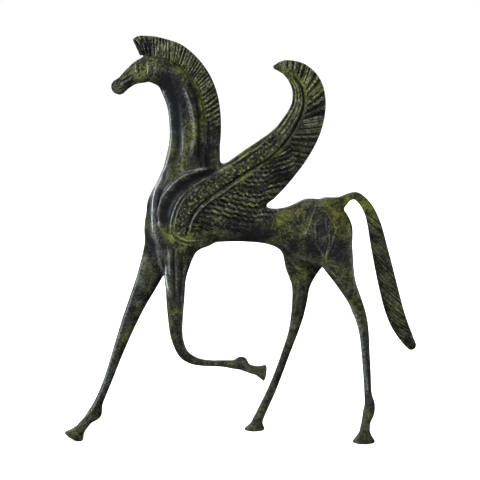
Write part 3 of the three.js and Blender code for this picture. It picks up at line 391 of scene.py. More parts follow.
def hoof_distance(hoof, x, y, z):
    """A hoof is round in plan and opens out from the ankle to a flat sole with a rounded rim."""
    (ankle_x, _, ankle_z), (sole_x, sole_y, sole_z), lean, (ankle_radius, sole_long, sole_wide) = hoof
    down_x, down_z = -math.sin(math.radians(lean)), -math.cos(math.radians(lean))
    height = (sole_x - x) * down_x + (sole_z - z) * down_z
    full = (sole_x - ankle_x) * down_x + (sole_z - ankle_z) * down_z
    cx = sole_x + (ankle_x - sole_x) * (height / full)
    cz = sole_z + (ankle_z - sole_z) * (height / full)
    opening = np.clip(1 - height / full, 0, 1) ** HOOF_FLARE
    long = ankle_radius + (sole_long - ankle_radius) * opening
    wide = ankle_radius + (sole_wide - ankle_radius) * opening
    radius = np.hypot(np.hypot(x - cx, z - cz) / long, (y - sole_y) / wide)
    wall = (radius - 1) * np.minimum(long, wide)
    underside = -height - SOLE_INSET
    return np.maximum(-smooth_min(-wall, -underside, 2 * SOLE_EDGE), height - full)


def body_distance(x, y, z, column=None):
    """Distance to the bare skin. Points with the same column number share their x and z."""
    if column is None:
        first = back = np.arange(len(x))
    else:
        _, first, back = np.unique(column, return_index=True, return_inverse=True)
    cx, cz = x[first], z[first]
    distance = np.full(len(x), FAR)
    for limb in limbs.values():
        near = limb.near(cx, cz)
        if not near.any():
            continue
        spot = limb.locate(cx[near], cz[near])
        row_of = np.cumsum(near) - 1
        here = near[back]
        row = row_of[back[here]]
        found = limb.distance(x[here], y[here], z[here], {key: part[row] for key, part in spot.items()})
        distance[here] = smooth_min(distance[here], found, limb.blend)
    for hoof in HOOVES:
        sole_x, _, sole_z = hoof[1]
        here = np.hypot(x - sole_x, z - sole_z) < 2 * NEAR
        found = hoof_distance(hoof, x[here], y[here], z[here])
        distance[here] = smooth_min(distance[here], found, HOOF_BLEND)
    return distance


# The corners of a lattice cell, numbered 4x + 2y + z
CORNERS = np.array([(i, j, k) for i in (0, 1) for j in (0, 1) for k in (0, 1)])
CELL_EDGES = [(c, c | bit) for bit in (4, 2, 1) for c in range(8) if not c & bit]


def hang_together(corners):
    reached = corners[:1]
    for c in reached:
        reached += [c ^ bit for bit in (4, 2, 1) if c ^ bit in corners and c ^ bit not in reached]
    return len(reached) == len(corners)


# For each pattern of corners inside the body: does the skin cross the cell in one plain sheet?
ONE_SHEET = np.array([all(hang_together([c for c in range(8) if (pattern >> c & 1) == side]) for side in (0, 1))
                      for pattern in range(256)])


def draw_skin(step):
    """Draws the skin over the lattice cells that it passes through: one corner for each cell and one four-sided
    face around each lattice edge that it crosses. Only blocks of cells near the skin are sampled."""
    size = np.ceil((ROOM[1] - ROOM[0]) / (step * BLOCK)).astype(int)
    blocks = np.indices(size).reshape(3, -1).T
    middles = ROOM[0] + (blocks + 0.5) * BLOCK * step
    reach = 1.7 * BLOCK * step
    to_skin = body_distance(*middles.T, blocks[:, 0] * size[2] + blocks[:, 2])
    blocks = blocks[np.abs(to_skin) < reach]

    counts = size * BLOCK + 1
    strides = np.array([counts[1] * counts[2], counts[2], 1])
    inside_block = [np.indices([side] * 3).reshape(3, -1).T for side in (BLOCK + 1, BLOCK)]
    nodes, cells = [np.unique(((blocks[:, None] * BLOCK + offsets) @ strides).ravel()) for offsets in inside_block]
    place = np.stack(np.unravel_index(nodes, counts), -1)
    value = np.full(counts.prod(), np.nan, np.float32)
    value[nodes] = body_distance(*(ROOM[0] + place * step).T, place[:, 0] * counts[2] + place[:, 2])

    # Where the skin would cross a cell in more than one sheet, the outside corner nearest to it is filled in.
    offsets = CORNERS @ strides
    while True:
        at_corners = value[cells[:, None] + offsets]
        pattern = ((at_corners < 0) << np.arange(8)).sum(1)
        torn = ~ONE_SHEET[pattern]
        if not torn.any():
            break
        outside = np.where(at_corners[torn] >= 0, at_corners[torn], np.inf)
        value[cells[torn] + offsets[outside.argmin(1)]] = -FILL * step

    crossed = (pattern > 0) & (pattern < 255)
    cells, at_corners = cells[crossed], at_corners[crossed]
    total = np.zeros((len(cells), 3))
    crossings = np.zeros(len(cells))
    for a, b in CELL_EDGES:
        from_value, to_value = at_corners[:, a], at_corners[:, b]
        cut = (from_value < 0) != (to_value < 0)
        share = from_value[cut] / (from_value[cut] - to_value[cut])
        total[cut] += CORNERS[a] + (CORNERS[b] - CORNERS[a]) * share[:, None]
        crossings[cut] += 1
    place = np.stack(np.unravel_index(cells, counts), -1)
    points = ROOM[0] + (place + total / crossings[:, None]) * step

    faces = []
    for axis in range(3):
        u, v = strides[(axis + 1) % 3], strides[(axis + 2) % 3]
        inside, beyond = at_corners[:, 0] < 0, at_corners[:, 4 >> axis] < 0
        cut = inside != beyond
        here = cells[cut]
        ring = np.searchsorted(cells, np.stack([here, here - u, here - u - v, here - v], 1))
        ring[beyond[cut]] = ring[beyond[cut]][:, ::-1]
        faces.append(ring)
    return points, np.vstack(faces)


def settle(points):
    """Moves each point on to the skin along the field's slope."""
    h = SLOPE_STEP
    tetrahedron = np.array([(1, -1, -1), (-1, -1, 1), (-1, 1, -1), (1, 1, 1)])
    slope = sum(body_distance(*(points + corner * h).T)[:, None] * corner for corner in tetrahedron) / (4 * h)
    miss = np.clip(body_distance(*points.T), -LATTICE, LATTICE)
    return points - slope * (miss / np.maximum((slope**2).sum(1), 0.2))[:, None]


def gather(values, index, count):
    return np.stack([np.bincount(index, part, count) for part in values.T], -1)


def even_out(points, faces, passes):
    """Draws each point half-way to the middle of its neighbours."""
    ends = np.vstack([faces[:, [i, (i + 1) % 4]] for i in range(4)])
    ends = np.vstack([ends, ends[:, ::-1]])
    share = np.bincount(ends[:, 0], minlength=len(points))[:, None]
    for _ in range(passes):
        points = (points + gather(points[ends[:, 1]], ends[:, 0], len(points)) / share) / 2
    return points


def skin_normals(points, faces):
    a, b, c, d = (points[faces[:, i]] for i in range(4))
    across = np.cross(c - a, d - b)
    normals = sum(gather(across, faces[:, i], len(points)) for i in range(4))
    return normals / np.maximum(np.linalg.norm(normals, axis=1), 1e-12)[:, None]


def line_distance(line, x, z):
    """Each point's distance to a line of points in the XZ plane, its place along the line, and the line's length."""
    runs = np.diff(line, axis=0)
    spans = np.hypot(*runs.T)
    arc = np.concatenate([[0], np.cumsum(spans)])
    gap, which, share = nearest_span(line, runs, x, z)
    return gap, arc[which] + spans[which] * share, arc[-1]


def profile(line, half, x, z):
    """1 on a line, falling to 0 at its half-width. Its ends run out to nothing."""
    level = np.zeros(len(x))
    low, high = np.min(line, 0) - half, np.max(line, 0) + half
    here = (x > low[0]) & (x < high[0]) & (z > low[1]) & (z < high[1])
    off, place, length = line_distance(line, x[here], z[here])
    level[here] = np.maximum(1 - (off / half) ** 2, 0) ** 2
    level[here] *= smoothstep(np.minimum(place, length - place), 0, TAPER * half)
    return level


def chased_lines(x, z, near_side):
    """Height of the chased lines over the skin, with how far each point is a crest or a hollow."""
    height, crest, hollow = np.zeros((3, len(x)))

    def add(level, rise):
        nonlocal height, crest, hollow
        height += level * rise
        crest = np.maximum(crest, level * min(1, rise))
        hollow = np.maximum(hollow, level * min(1, -rise))

    for rise, half, sides, points in LINES:
        level = profile(smooth_rows(rows(points, 2)), half, x, z)
        add(level if sides == "both" else level * near_side, rise)
    for points in ORNAMENT:
        add(profile(rows(points, 2), ORNAMENT_HALF, x, z) * near_side, ORNAMENT_HEIGHT)
    for cx, cz, radius, rise in SPOTS:
        off = np.hypot(x - cx, z - cz) / radius
        add(np.maximum(1 - off * off, 0), rise)
    return height, crest, hollow


def on_limb(name, x, z, margin=4):
    """Which points are near a limb, and their place on it."""
    here = limbs[name].near(x, z, margin)
    return here, limbs[name].locate(x[here], z[here])


def feather_roots(x, z):
    """Where along the quill the feather through each point is rooted."""
    wing = limbs["wing"]
    rise = np.radians(eased(FEATHER_RISE, wing.arc / wing.length))
    feet = np.vstack([wing.start[:, :2], wing.end[-1:, :2]])
    above = [(z - fz) * math.cos(a) - (x - fx) * math.sin(a) for (fx, fz), a in zip(feet, rise)]
    roots = np.zeros(len(x))
    for gap, next_gap, span in zip(above, above[1:], wing.span):
        roots += span * np.clip(gap / np.maximum(gap - next_gap, 1e-6), 0, 1)
    return roots


def strand_fields(x, z):
    """Where the strands, feathers and ribs are, and each point's run across them, in millimetres."""
    fields = {}

    def keep(name, here, run, area):
        for kind, part in (("run", run), ("area", area)):
            full = np.zeros(len(x))
            full[here] = part
            fields[f"{name}_{kind}"] = full

    here, spot = on_limb("mane", x, z)
    inside = fade(spot["across"] / spot["width"], MANE_ACROSS)
    to_end = limbs["mane"].length - spot["arc"]
    inside *= smoothstep(to_end, *MANE_END) * (0.2 + 0.8 * smoothstep(to_end, *MANE_PLAIN))
    coarse_from, pace = MANE_COARSE
    run = np.minimum(spot["arc"], coarse_from) + pace * np.maximum(spot["arc"] - coarse_from, 0)
    keep("mane", here, run + MANE_LEAN * spot["across"], inside)

    here, spot = on_limb("wing", x, z)
    along = spot["arc"] / limbs["wing"].length
    u = spot["across"] / spot["width"]
    keep("feather", here, feather_roots(x[here], z[here]), fade(-u, FEATHER_ACROSS) * fade(along, FEATHER_ALONG))
    keep("rib", here, u * LEADING_SPREAD, fade(u, LEADING_ACROSS) * fade(along, LEADING_ALONG))

    here, spot = on_limb("tail", x, z)
    lean = math.radians(TAIL_LEAN)
    inside = smoothstep(spot["arc"], *TAIL_ROOT) * smoothstep(limbs["tail"].length - spot["arc"], *TAIL_TIP)
    inside *= 1 - smoothstep(np.abs(spot["across"]) / spot["width"], *TAIL_EDGE)
    keep("tail", here, spot["arc"] * math.sin(lean) - spot["across"] * math.cos(lean), inside)

    covert = line_distance(smooth_rows(rows(COVERT_LINE, 2)), x, z)[0]
    fields["covert_area"] = 1 - smoothstep(covert, *COVERT_HALF)
    return fields


def patches(table, x, z):
    """Soft patches at the places in a table: 1 where one is thickest, 0 where there is none."""
    thickness = np.zeros(len(x))
    for cx, cz, radius, strength in table:
        thickness += strength * np.exp(-((x - cx) ** 2 + (z - cz) ** 2) / radius**2)
    return np.minimum(thickness, 1)


def fit_to_box(points):
    """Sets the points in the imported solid's own box."""
    low, high = np.array(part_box(NODE))
    least, most = points.min(0), points.max(0)
    return low + (points - least) * ((high - low) / (most - least))


def flat_mesh(name, points, faces):
    mesh = bpy.data.meshes.new(name)
    mesh.vertices.add(len(points))
    mesh.vertices.foreach_set("co", points.astype(np.float32).ravel())
    mesh.loops.add(faces.size)
    mesh.loops.foreach_set("vertex_index", faces.astype(np.int32).ravel())
    mesh.polygons.add(len(faces))
    mesh.polygons.foreach_set("loop_start", np.arange(0, faces.size, faces.shape[1], dtype=np.int32))
    mesh.update(calc_edges=True)
    return mesh


def build_skin(settings):
    points, faces = draw_skin(LATTICE)
    points = even_out(settle(points), faces, 2)
    points[:, 2] = np.maximum(points[:, 2], 0)
    normals = skin_normals(points, faces)
    x, z = points[:, 0], points[:, 2]
    facing = smoothstep(np.abs(normals[:, 1]), *SIDES)
    near_side = (normals[:, 1] < 0).astype(float)
    height, crest, hollow = chased_lines(x, z, near_side)
    fields = {name: part * facing if name.endswith("area") else part for name, part in strand_fields(x, z).items()}
    fields["covert_area"] *= near_side
    fields["crest"] = crest * facing
    fields["hollow"] = hollow * facing
    fields["bloom"] = patches(BLOOM, x, z)
    # patches that are partly darker patina and partly painted shade
    fields["dark_and_shade"] = patches(DARK_AND_SHADE, x, z)
    points = points + normals * (height * facing * settings.line_height)[:, None]
    points[:, 2] = np.maximum(points[:, 2], 0)

    mesh = flat_mesh(PIECE, fit_to_box(points * MM), faces)
    for name, part in fields.items():
        scale = MM if name.endswith("run") else 1
        attribute = mesh.attributes.new(name, "FLOAT", "POINT")
        attribute.data.foreach_set("value", (part * scale).astype(np.float32))
    skin = bpy.data.objects.new(PIECE, mesh)
    bpy.context.scene.collection.objects.link(skin)


class Socket:
    """One output of a node. Sums and products of sockets add the Math nodes that they need."""

    def __init__(self, board, link):
        self.board, self.link = board, link

    def math(self, operation, *others):
        return self.board.node("ShaderNodeMath", {"operation": operation}, dict(enumerate((self, *others))))

    __add__ = __radd__ = partialmethod(math, "ADD")
    __sub__ = partialmethod(math, "SUBTRACT")
    __mul__ = __rmul__ = partialmethod(math, "MULTIPLY")
    __truediv__ = partialmethod(math, "DIVIDE")
    __pow__ = partialmethod(math, "POWER")
    __abs__ = partialmethod(math, "ABSOLUTE")
    fraction = partialmethod(math, "FRACT")
    most = partialmethod(math, "MAXIMUM")

    def __rsub__(self, other):
        return self.board.node("ShaderNodeMath", {"operation": "SUBTRACT"}, {0: other, 1: self})

    def rises(self, low, high):
        """0 below low, 1 above high, and a smooth rise between them."""
        settings = {"interpolation_type": "SMOOTHSTEP", "clamp": True}
        values = {"Value": self, "From Min": low, "From Max": high, "To Min": 0.0, "To Max": 1.0}
        return self.board.node("ShaderNodeMapRange", settings, values)


class Board:
    """A node tree that is wired by calls."""

    def __init__(self, tree):
        self.tree = tree

    def node(self, kind, settings, values, output=0):
        made = self.tree.nodes.new(kind)
        for key, value in settings.items():
            setattr(made, key, value)
        for key, value in values.items():
            if isinstance(value, Socket):
                self.tree.links.new(value.link, made.inputs[key])
            else:
                made.inputs[key].default_value = value
        return None if output is None else Socket(self, made.outputs[output])

    def blend(self, share, below, above):
        """One colour over another."""
        return self.node("ShaderNodeMix", {"data_type": "RGBA"}, {0: share, 6: below, 7: above}, 2)

    def noise(self, place, scale, detail=3.0, roughness=0.5, distortion=0.0):
        values = {"Vector": place, "Scale": scale, "Detail": detail, "Roughness": roughness,
                  "Distortion": distortion}
        return self.node("ShaderNodeTexNoise", {}, values)


def new_carving_tree(name, **inputs):
    """An empty geometry tree that takes a geometry, a material, and these inputs with their defaults."""
    tree = bpy.data.node_groups.new(name, "GeometryNodeTree")
    tree.interface.new_socket("Geometry", in_out="OUTPUT", socket_type="NodeSocketGeometry")
    for title in ("Geometry", "Material"):
        tree.interface.new_socket(title, in_out="INPUT", socket_type=f"NodeSocket{title}")
    for title, default in inputs.items():
        kind = "String" if isinstance(default, str) else "Float"
        socket = tree.interface.new_socket(title, in_out="INPUT", socket_type=f"NodeSocket{kind}")
        socket.default_value = default
    board = Board(tree)
    given = tree.nodes.new("NodeGroupInput")
    place = board.node("GeometryNodeInputPosition", {}, {})
    return board, place, {title: Socket(board, given.outputs[title]) for title in ("Geometry", "Material", *inputs)}


def attribute(board, name):
    return board.node("GeometryNodeInputNamedAttribute", {"data_type": "FLOAT"}, {"Name": name})


def finish_tree(board, given, height):
    """Raises the skin by this height and gives it its material."""
    normal = board.node("GeometryNodeInputNormal", {}, {})
    offset = board.node("ShaderNodeVectorMath", {"operation": "SCALE"}, {0: normal, "Scale": height})
    raised = board.node("GeometryNodeSetPosition", {}, {"Geometry": given["Geometry"], "Offset": offset})
    real = board.node("GeometryNodeRealizeInstances", {}, {"Geometry": raised})
    dressed = board.node("GeometryNodeSetMaterial", {}, {"Geometry": real, "Material": given["Material"]})
    result = board.tree.nodes.new("NodeGroupOutput")
    board.tree.links.new(dressed.link, result.inputs["Geometry"])
    return board.tree


def strand_pattern(board, place, run, pitch, wander, seed):
    """Strands side by side, some bolder than others: 1 in the grooves between them, how deep each groove is, 1 along
    the crown of each strand, and 1 along the crowns that are rubbed bright."""
    noise = {"Vector": place, "W": seed, "Scale": 60.0, "Detail": 1.0}
    drift = board.node("ShaderNodeTexNoise", {"noise_dimensions": "4D"}, noise)
    patchy = board.node("ShaderNodeTexNoise", {"noise_dimensions": "4D"}, {**noise, "Scale": 150.0})
    even = run / pitch
    width = board.node("ShaderNodeTexNoise", {"noise_dimensions": "1D"}, {"W": even * 0.6 + seed * 30})
    phase = even + (width - 0.5) * 1.5 + (drift - 0.5) * wander
    strand = board.node("ShaderNodeMath", {"operation": "FLOOR"}, {0: phase})
    own = board.node("ShaderNodeTexWhiteNoise", {"noise_dimensions": "1D"}, {"W": strand + seed * 100})
    off = abs(phase.fraction() - 0.5) * 2
    groove = off.rises(0.42, 0.92)
    crown = (1 - off).rises(0.25, 0.8)
    return groove, (0.5 + own * 0.5) * (0.5 + patchy), crown, crown * own.rises(0.35, 0.9) * patchy.rises(0.42, 0.6)


def stipple_pattern(board, place, spacing):
    """Small bosses close together: 1 on top of each and 0 between them."""
    settings = {"voronoi_dimensions": "3D", "feature": "SMOOTH_F1"}
    gap = board.node("ShaderNodeTexVoronoi", settings, {"Vector": place, "Scale": spacing**-1, "Smoothness": 0.3})
    return (1 - gap * 1.5).rises(0.0, 0.9)


def strand_tree():
    """Rounded strands side by side, with a groove between each two, over an area of the skin."""
    board, place, given = new_carving_tree("Chased strands", Run="", Area="", Pitch=0.003, Depth=0.001, Wander=0.3,
                                           Seed=0.0)
    run, area = attribute(board, given["Run"]), attribute(board, given["Area"])
    groove, depth, _, _ = strand_pattern(board, place, run, given["Pitch"], given["Wander"], given["Seed"])
    return finish_tree(board, given, groove * area * depth * given["Depth"] * -1)


def stipple_tree():
    """Small bosses close together over an area of the skin, as short downy feathers are shown."""
    board, place, given = new_carving_tree("Downy stipple", Area="", Spacing=0.002, Height=0.0005)
    boss = stipple_pattern(board, place, given["Spacing"])
    return finish_tree(board, given, (boss - 0.5) * attribute(board, given["Area"]) * given["Height"])


def add_carving(skin, tree, **values):
    """Adds a geometry tree to the skin with these inputs, which are set by the sockets' identifiers."""
    modifier = skin.modifiers.new(tree.name, "NODES")
    modifier.node_group = tree
    for item in tree.interface.items_tree:
        key = item.name.lower()
        if item.in_out == "INPUT" and key in values:
            modifier[item.identifier] = values[key]


def settle_modifiers(skin):
    """Turns the skin with its modifiers into a plain mesh."""
    graph = bpy.context.evaluated_depsgraph_get()
    mesh = bpy.data.meshes.new_from_object(skin.evaluated_get(graph), preserve_all_data_layers=True, depsgraph=graph)
    skin.modifiers.clear()
    old, skin.data = skin.data, mesh
    bpy.data.meshes.remove(old)
    mesh.name = PIECE


def strand_rows(carving):
    """The strands of each part of the figure: its name, the pitch, depth and wander of its strands, and a seed."""
    return [
        ("mane", carving.mane_pitch, carving.mane_depth, 0.7, 0.0),
        ("feather", carving.feather_pitch, carving.feather_depth, 0.25, 1.0),
        ("rib", carving.rib_pitch, carving.rib_depth, 0.7, 2.0),
        ("tail", carving.tail_pitch, carving.tail_depth, 0.8, 3.0),
    ]


def carve_strands(skin, carving, material):
    strands, stipple = strand_tree(), stipple_tree()
    for name, pitch, depth, wander, seed in strand_rows(carving):
        add_carving(skin, strands, run=f"{name}_run", area=f"{name}_area", pitch=pitch, depth=depth, wander=wander,
                    seed=seed, material=material)
    add_carving(skin, stipple, area="covert_area", spacing=carving.stipple_spacing, height=carving.stipple_height,
                material=material)
    settle_modifiers(skin)


def thin_out(skin):
    """Fewer, larger faces where the skin is plain."""
    triangles = sum(len(face.vertices) - 2 for face in skin.data.polygons)
    modifier = skin.modifiers.new("Thin out", "DECIMATE")
    modifier.ratio = min(1, SKIN_TRIANGLES / triangles)
    settle_modifiers(skin)
    mesh = skin.data
    co = np.empty(len(mesh.vertices) * 3, np.float32)
    mesh.vertices.foreach_get("co", co)
    points = fit_to_box(co.reshape(-1, 3).astype(float))
    mesh.vertices.foreach_set("co", points.astype(np.float32).ravel())
    mesh.shade_smooth()
    mesh.update()


def bronze_material(finish, carving):
    """Dark bronze with a green bloom, rubbed crests with a painted highlight, painted shade in the hollows and dark
    patches, a painted sheen and glints, and a coat of wax.
    """
    material = bpy.data.materials.new("Patinated bronze")
    material.use_nodes = True
    tree = material.node_tree
    tree.nodes.clear()
    board = Board(tree)
    place = board.node("ShaderNodeTexCoord", {}, {}, "Object")

    def painted(name):
        return board.node("ShaderNodeAttribute", {"attribute_name": name}, {}, "Fac")

    cloud = board.noise(place, 35.0, 3.0, 0.6)
    drift = board.noise(place, 110.0, 4.0, 0.65)
    fleck = board.noise(place, 450.0, 4.0, 0.7)
    grain = board.noise(place, 1000.0, 3.0, 0.7)
    chips = board.noise(place, 800.0, 2.0, 0.6, 0.4)
    names = ("crest", "hollow", "bloom", "dark_and_shade", "covert_area")
    crest, hollow, bloom_area, dark_and_shade_area, covert_area = (painted(name) for name in names)
    boss = stipple_pattern(board, place, carving.stipple_spacing)
    hollow = hollow.most((1 - boss) * covert_area * 0.8)
    gilt = boss * covert_area * 0.8
    # the crests' pale colour, which is partly a painted highlight, and their wax are broken into lengths
    crest = crest * (drift * 2.4 - 0.2).rises(0.0, 0.8)
    strand = boss * covert_area
    relief = (boss - 0.5) * covert_area * (carving.stipple_height / MM)
    for name, pitch, depth, wander, seed in strand_rows(carving):
        area = painted(f"{name}_area")
        groove, bold, crown, bright_crown = strand_pattern(board, place, painted(f"{name}_run"), pitch, wander, seed)
        hollow = hollow.most(groove * bold * area * 0.9)
        # the crowns of strands and feathers take a painted sheen
        strand = strand.most(crown * area)
        gilt = gilt.most(bright_crown * area * 0.85)
        relief = relief - groove * area * bold * (depth / MM)
    mottle = fleck * 0.45 + grain * 0.55

    veil = bloom_area - dark_and_shade_area * 0.8 + (cloud - 0.5) * 0.6 + (drift - 0.5) * 1.6 + (mottle - 0.5) * 4.0
    veil = (veil - 0.1).rises(0.0, 0.9) * (1 - hollow * 0.6)
    lines = (gilt * (0.5 + (mottle - 0.5) * 3.0)).rises(0.15, 0.65)
    violet = (dark_and_shade_area * 0.9 + (0.5 - cloud) * 2.0 + (mottle - 0.5) * 1.5).rises(0.1, 0.7)
    dark = 1 - (mottle + (drift - 0.5) * 0.5 - dark_and_shade_area * 0.12).rises(0.43, 0.54)
    bright = (chips + (drift - 0.5) * 0.3).rises(0.55, 0.65)
    # painted glints: small pale flecks that stand for highlights, with a little more wax on them
    painted_glint = (board.noise(place, 1300.0, 1.0, 0.5, 0.8) + (drift - 0.5) * 0.2).rises(0.68, 0.74)

    dark = dark.most((0.5 - cloud) * 3.0 * (1 - mottle.rises(0.5, 0.62)) * (1 - bloom_area))
    # painted shade, with darker patina, over the dark-and-shade patches
    dark = dark.most(dark_and_shade_area * (1 - mottle.rises(0.48, 0.6)) * 0.8)
    # pale crest colour: rubbed wear, and a painted highlight along the cords and folds
    crest_wear_and_highlight = board.blend(bloom_area * 0.7, finish.worn_and_highlight, finish.rubbed)
    colour = board.blend(violet, finish.metal, finish.cool_metal)
    for share, coat in (
        (bright * (1 - dark_and_shade_area * 0.7) * 0.4, finish.worn_and_highlight),
        (veil * 0.9, finish.bloom),
        (veil * bright * 0.5, finish.bright_bloom),
        # olive bronze on the crowns of strands, feathers and bosses, lighter there as a painted sheen
        (strand * mottle.rises(0.4, 0.56) * 0.8, finish.strand),
        # near-black mottle of the bronze, with painted shade where the dark-and-shade patches lie
        (dark * 0.9, finish.shadow),
        # painted highlight, with some wear, on the crests of cords and folds, held back where painted shade lies
        (crest * mottle.rises(0.42, 0.54) * (0.8 - dark_and_shade_area * 0.45), crest_wear_and_highlight),
        (lines * 0.6, finish.rubbed),
        # painted glints
        (painted_glint * 0.6, finish.worn_and_highlight),
        # painted shade in the grooves between strands and feathers, in the chased hollows and between the bosses
        (hollow * 0.9, finish.shadow),
    ):
        colour = board.blend(share, colour, coat)

    metallic = 0.85 - veil * 0.6 - lines * 0.3 - hollow * 0.2
    roughness = finish.roughness + veil * 0.2 + hollow * 0.25 + dark * 0.2 - crest * 0.1 + (grain - 0.5) * 0.6
    wax = (0.06 + crest * 0.9 + strand * 0.2 + painted_glint * 0.3) * (1 - hollow * 0.9) * (1 - veil * 0.9)

    relief = relief + (fleck - 0.5) * 1.5 + (grain - 0.5) * 0.9
    values = {"Strength": 1.0, "Distance": MM, "Height": relief}
    shader = board.node("ShaderNodeBsdfPrincipled", {}, {
        "Base Color": colour, "Metallic": metallic, "Roughness": roughness, "Coat Weight": wax,
        "Specular IOR Level": 0.15, "Coat Roughness": 0.16, "Normal": board.node("ShaderNodeBump", {}, values),
    })
    board.node("ShaderNodeOutputMaterial", {}, {"Surface": shader}, None)
    return material


def add_light(name, kind, energy, **settings):
    data = bpy.data.lights.new(name, kind)
    data.energy = energy
    for key, value in settings.items():
        setattr(data, key, value)
    light = bpy.data.objects.new(name, data)
    bpy.context.scene.collection.objects.link(light)
    return light


def softbox(name, place, size, watts, color=(1, 1, 1)):
    """A soft rectangular light that is turned to the middle of the figure."""
    light = add_light(name, "AREA", watts, shape="RECTANGLE", size=size[0], size_y=size[1], color=color)
    light.location = place
    light.rotation_euler = (LIT_POINT - Vector(place)).to_track_quat("-Z", "Y").to_euler()


def plain_material(name, colour, roughness):
    material = bpy.data.materials.new(name)
    material.use_nodes = True
    shader = material.node_tree.nodes["Principled BSDF"]
    shader.inputs["Base Color"].default_value = (*colour, 1)
    shader.inputs["Roughness"].default_value = roughness
    return material


def set_world(stage):
    world = bpy.data.worlds.new("Pale room")
    world.use_nodes = True
    shader = world.node_tree.nodes["Background"]
    board = Board(world.node_tree)
    seen = board.node("ShaderNodeLightPath", {}, {}, "Is Camera Ray")
    strength = seen * (1 - stage.room_light) + stage.room_light
    shader.inputs["Color"].default_value = (1, 1, 1, 1)
    world.node_tree.links.new(strength.link, shader.inputs["Strength"])
    bpy.context.scene.world = world


def set_camera(stage):
    turn, rise = stage.camera_turn, stage.camera_rise
    back = Vector((math.sin(turn) * math.cos(rise), -math.cos(turn) * math.cos(rise), math.sin(rise)))
    data = bpy.data.cameras.new("Camera")
    data.lens, data.sensor_width = stage.lens, 36
    camera = bpy.data.objects.new("Camera", data)
    camera.location = Vector(stage.camera_aim) + back * stage.camera_distance
    camera.rotation_mode = "QUATERNION"
    camera.rotation_quaternion = (-back).to_track_quat("-Z", "Y")
    bpy.context.scene.collection.objects.link(camera)
    bpy.context.scene.camera = camera


def number(name, description, default, **kind):
    return bpy.props.FloatProperty(name=name, description=description, default=default, **kind)


def length(name, description, default):
    return number(name, description, default, min=0, subtype="DISTANCE", unit="LENGTH", precision=5)


def angle(name, description, degrees):
    return number(name, description, math.radians(degrees), subtype="ANGLE", unit="ROTATION")


def share(name, description, default, most=2):
    return number(name, description, default, min=0, max=most, subtype="FACTOR")


def colour(name, description, default):
    return bpy.props.FloatVectorProperty(name=name, description=description, default=(*default, 1), size=4,
                                         subtype="COLOR", min=0, max=1)


class CarvingSizes(bpy.types.PropertyGroup):
    """How the casting is chased."""

    line_height: share("Line height", "Height of the cords, folds and flutes, as a share of their full height", 1.0)
    mane_pitch: length("Mane pitch", "Distance from lock to lock along the crest", 0.0025)
    mane_depth: length("Mane depth", "Depth of the grooves between the locks", 0.0015)
    feather_pitch: length("Feather pitch", "Distance from feather to feather along the quill", 0.0048)
    feather_depth: length("Feather depth", "Depth of the grooves between the feathers", 0.0014)
    rib_pitch: length("Rib pitch", "Distance between the ribs along the leading edge", 0.0027)
    rib_depth: length("Rib depth", "Depth of the grooves between those ribs", 0.0008)
    tail_pitch: length("Tail pitch", "Distance from strand to strand of the tail", 0.0024)
    tail_depth: length("Tail depth", "Depth of the grooves between the strands", 0.0016)
    stipple_spacing: length("Stipple spacing", "Distance between the bosses of the downy band", 0.0026)
    stipple_height: length("Stipple height", "Height of those bosses", 0.0011)


class BronzeFinish(bpy.types.PropertyGroup):
    """Colours and gloss of the bronze and its patina, with the colours painted for highlights, sheen and shade."""

    metal: colour("Bronze", "The bare dark bronze", (0.036, 0.037, 0.015))
    cool_metal: colour("Cool bronze", "The bluer bronze in plain, dark places", (0.024, 0.023, 0.029))
    # near black, for the dark mottle of the bronze and as painted shade in grooves and pits
    shadow: colour("Hollows", "The bronze in grooves and pits", (0.005, 0.005, 0.005))
    bloom: colour("Bloom", "The moss green bloom of the patina", (0.047, 0.053, 0.002))
    bright_bloom: colour("Bright bloom", "The thickest flecks of the bloom", (0.13, 0.142, 0.004))
    rubbed: colour("Rubbed strands", "The yellow green along the crowns of the strands", (0.19, 0.205, 0.035))
    # olive bronze for the crowns of strands, lighter there as a painted sheen
    strand: colour("Strands", "The olive bronze along the strands and feathers", (0.125, 0.13, 0.075))
    # paler worn bronze, also the colour of the painted highlight on crests and of the painted glints
    worn_and_highlight: colour("Worn crests", "The paler bronze on the crests of cords and folds", (0.145, 0.153, 0.142))
    roughness: share("Roughness", "Roughness of the waxed bronze", 0.36)


class StageSettings(bpy.types.PropertyGroup):
    """The floor, the light and the camera."""

    floor_tone: share("Floor tone", "Lightness of the floor", 0.9, 1)
    floor_reach: length("Floor reach", "From the figure to the edge of the floor", 30.0)
    room_light: number("Room light", "Strength of the room's even light", 0.12, min=0)
    floor_light: number("Floor light", "Strength of the floor's own even light", 4.0, min=0)
    key_light: number("Key light", "Power of the soft light on the left", 42.0, min=0, unit="POWER")
    fill_light: number("Fill light", "Power of the soft light by the camera", 5.0, min=0, unit="POWER")
    lens: number("Lens", "Focal length in millimetres", 100.0, min=1)
    camera_distance: length("Distance", "From the camera to the point it is aimed at", 1.111)
    camera_turn: angle("Turn", "Turn of the camera round the figure", -6)
    camera_rise: angle("Rise", "Rise of the camera over the horizon", 9)
    camera_aim: bpy.props.FloatVectorProperty(name="Aim", description="The point that the camera is aimed at",
                                              default=(-0.0016, 0.0008, 0.1704), subtype="TRANSLATION",
                                              unit="LENGTH", precision=5)


class HORSE_OT_skin(bpy.types.Operator):
    """Draws the casting's skin with its cords, folds and flutes"""

    bl_idname = "winged_horse.skin"
    bl_label = "Cast the skin"

    def execute(self, context):
        build_skin(context.scene.horse_carving)
        return {"FINISHED"}


class HORSE_OT_strands(bpy.types.Operator):
    """Chases the mane, the feathers and the tail into the skin, and coats it with its patina"""

    bl_idname = "winged_horse.strands"
    bl_label = "Chase mane, wing and tail"

    def execute(self, context):
        skin = bpy.data.objects.get(PIECE)
        if skin is None:
            raise RuntimeError("cast the skin first")
        carving = context.scene.horse_carving
        carve_strands(skin, carving, bronze_material(context.scene.horse_finish, carving))
        thin_out(skin)
        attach(skin, "root")
        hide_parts(NODE)
        return {"FINISHED"}


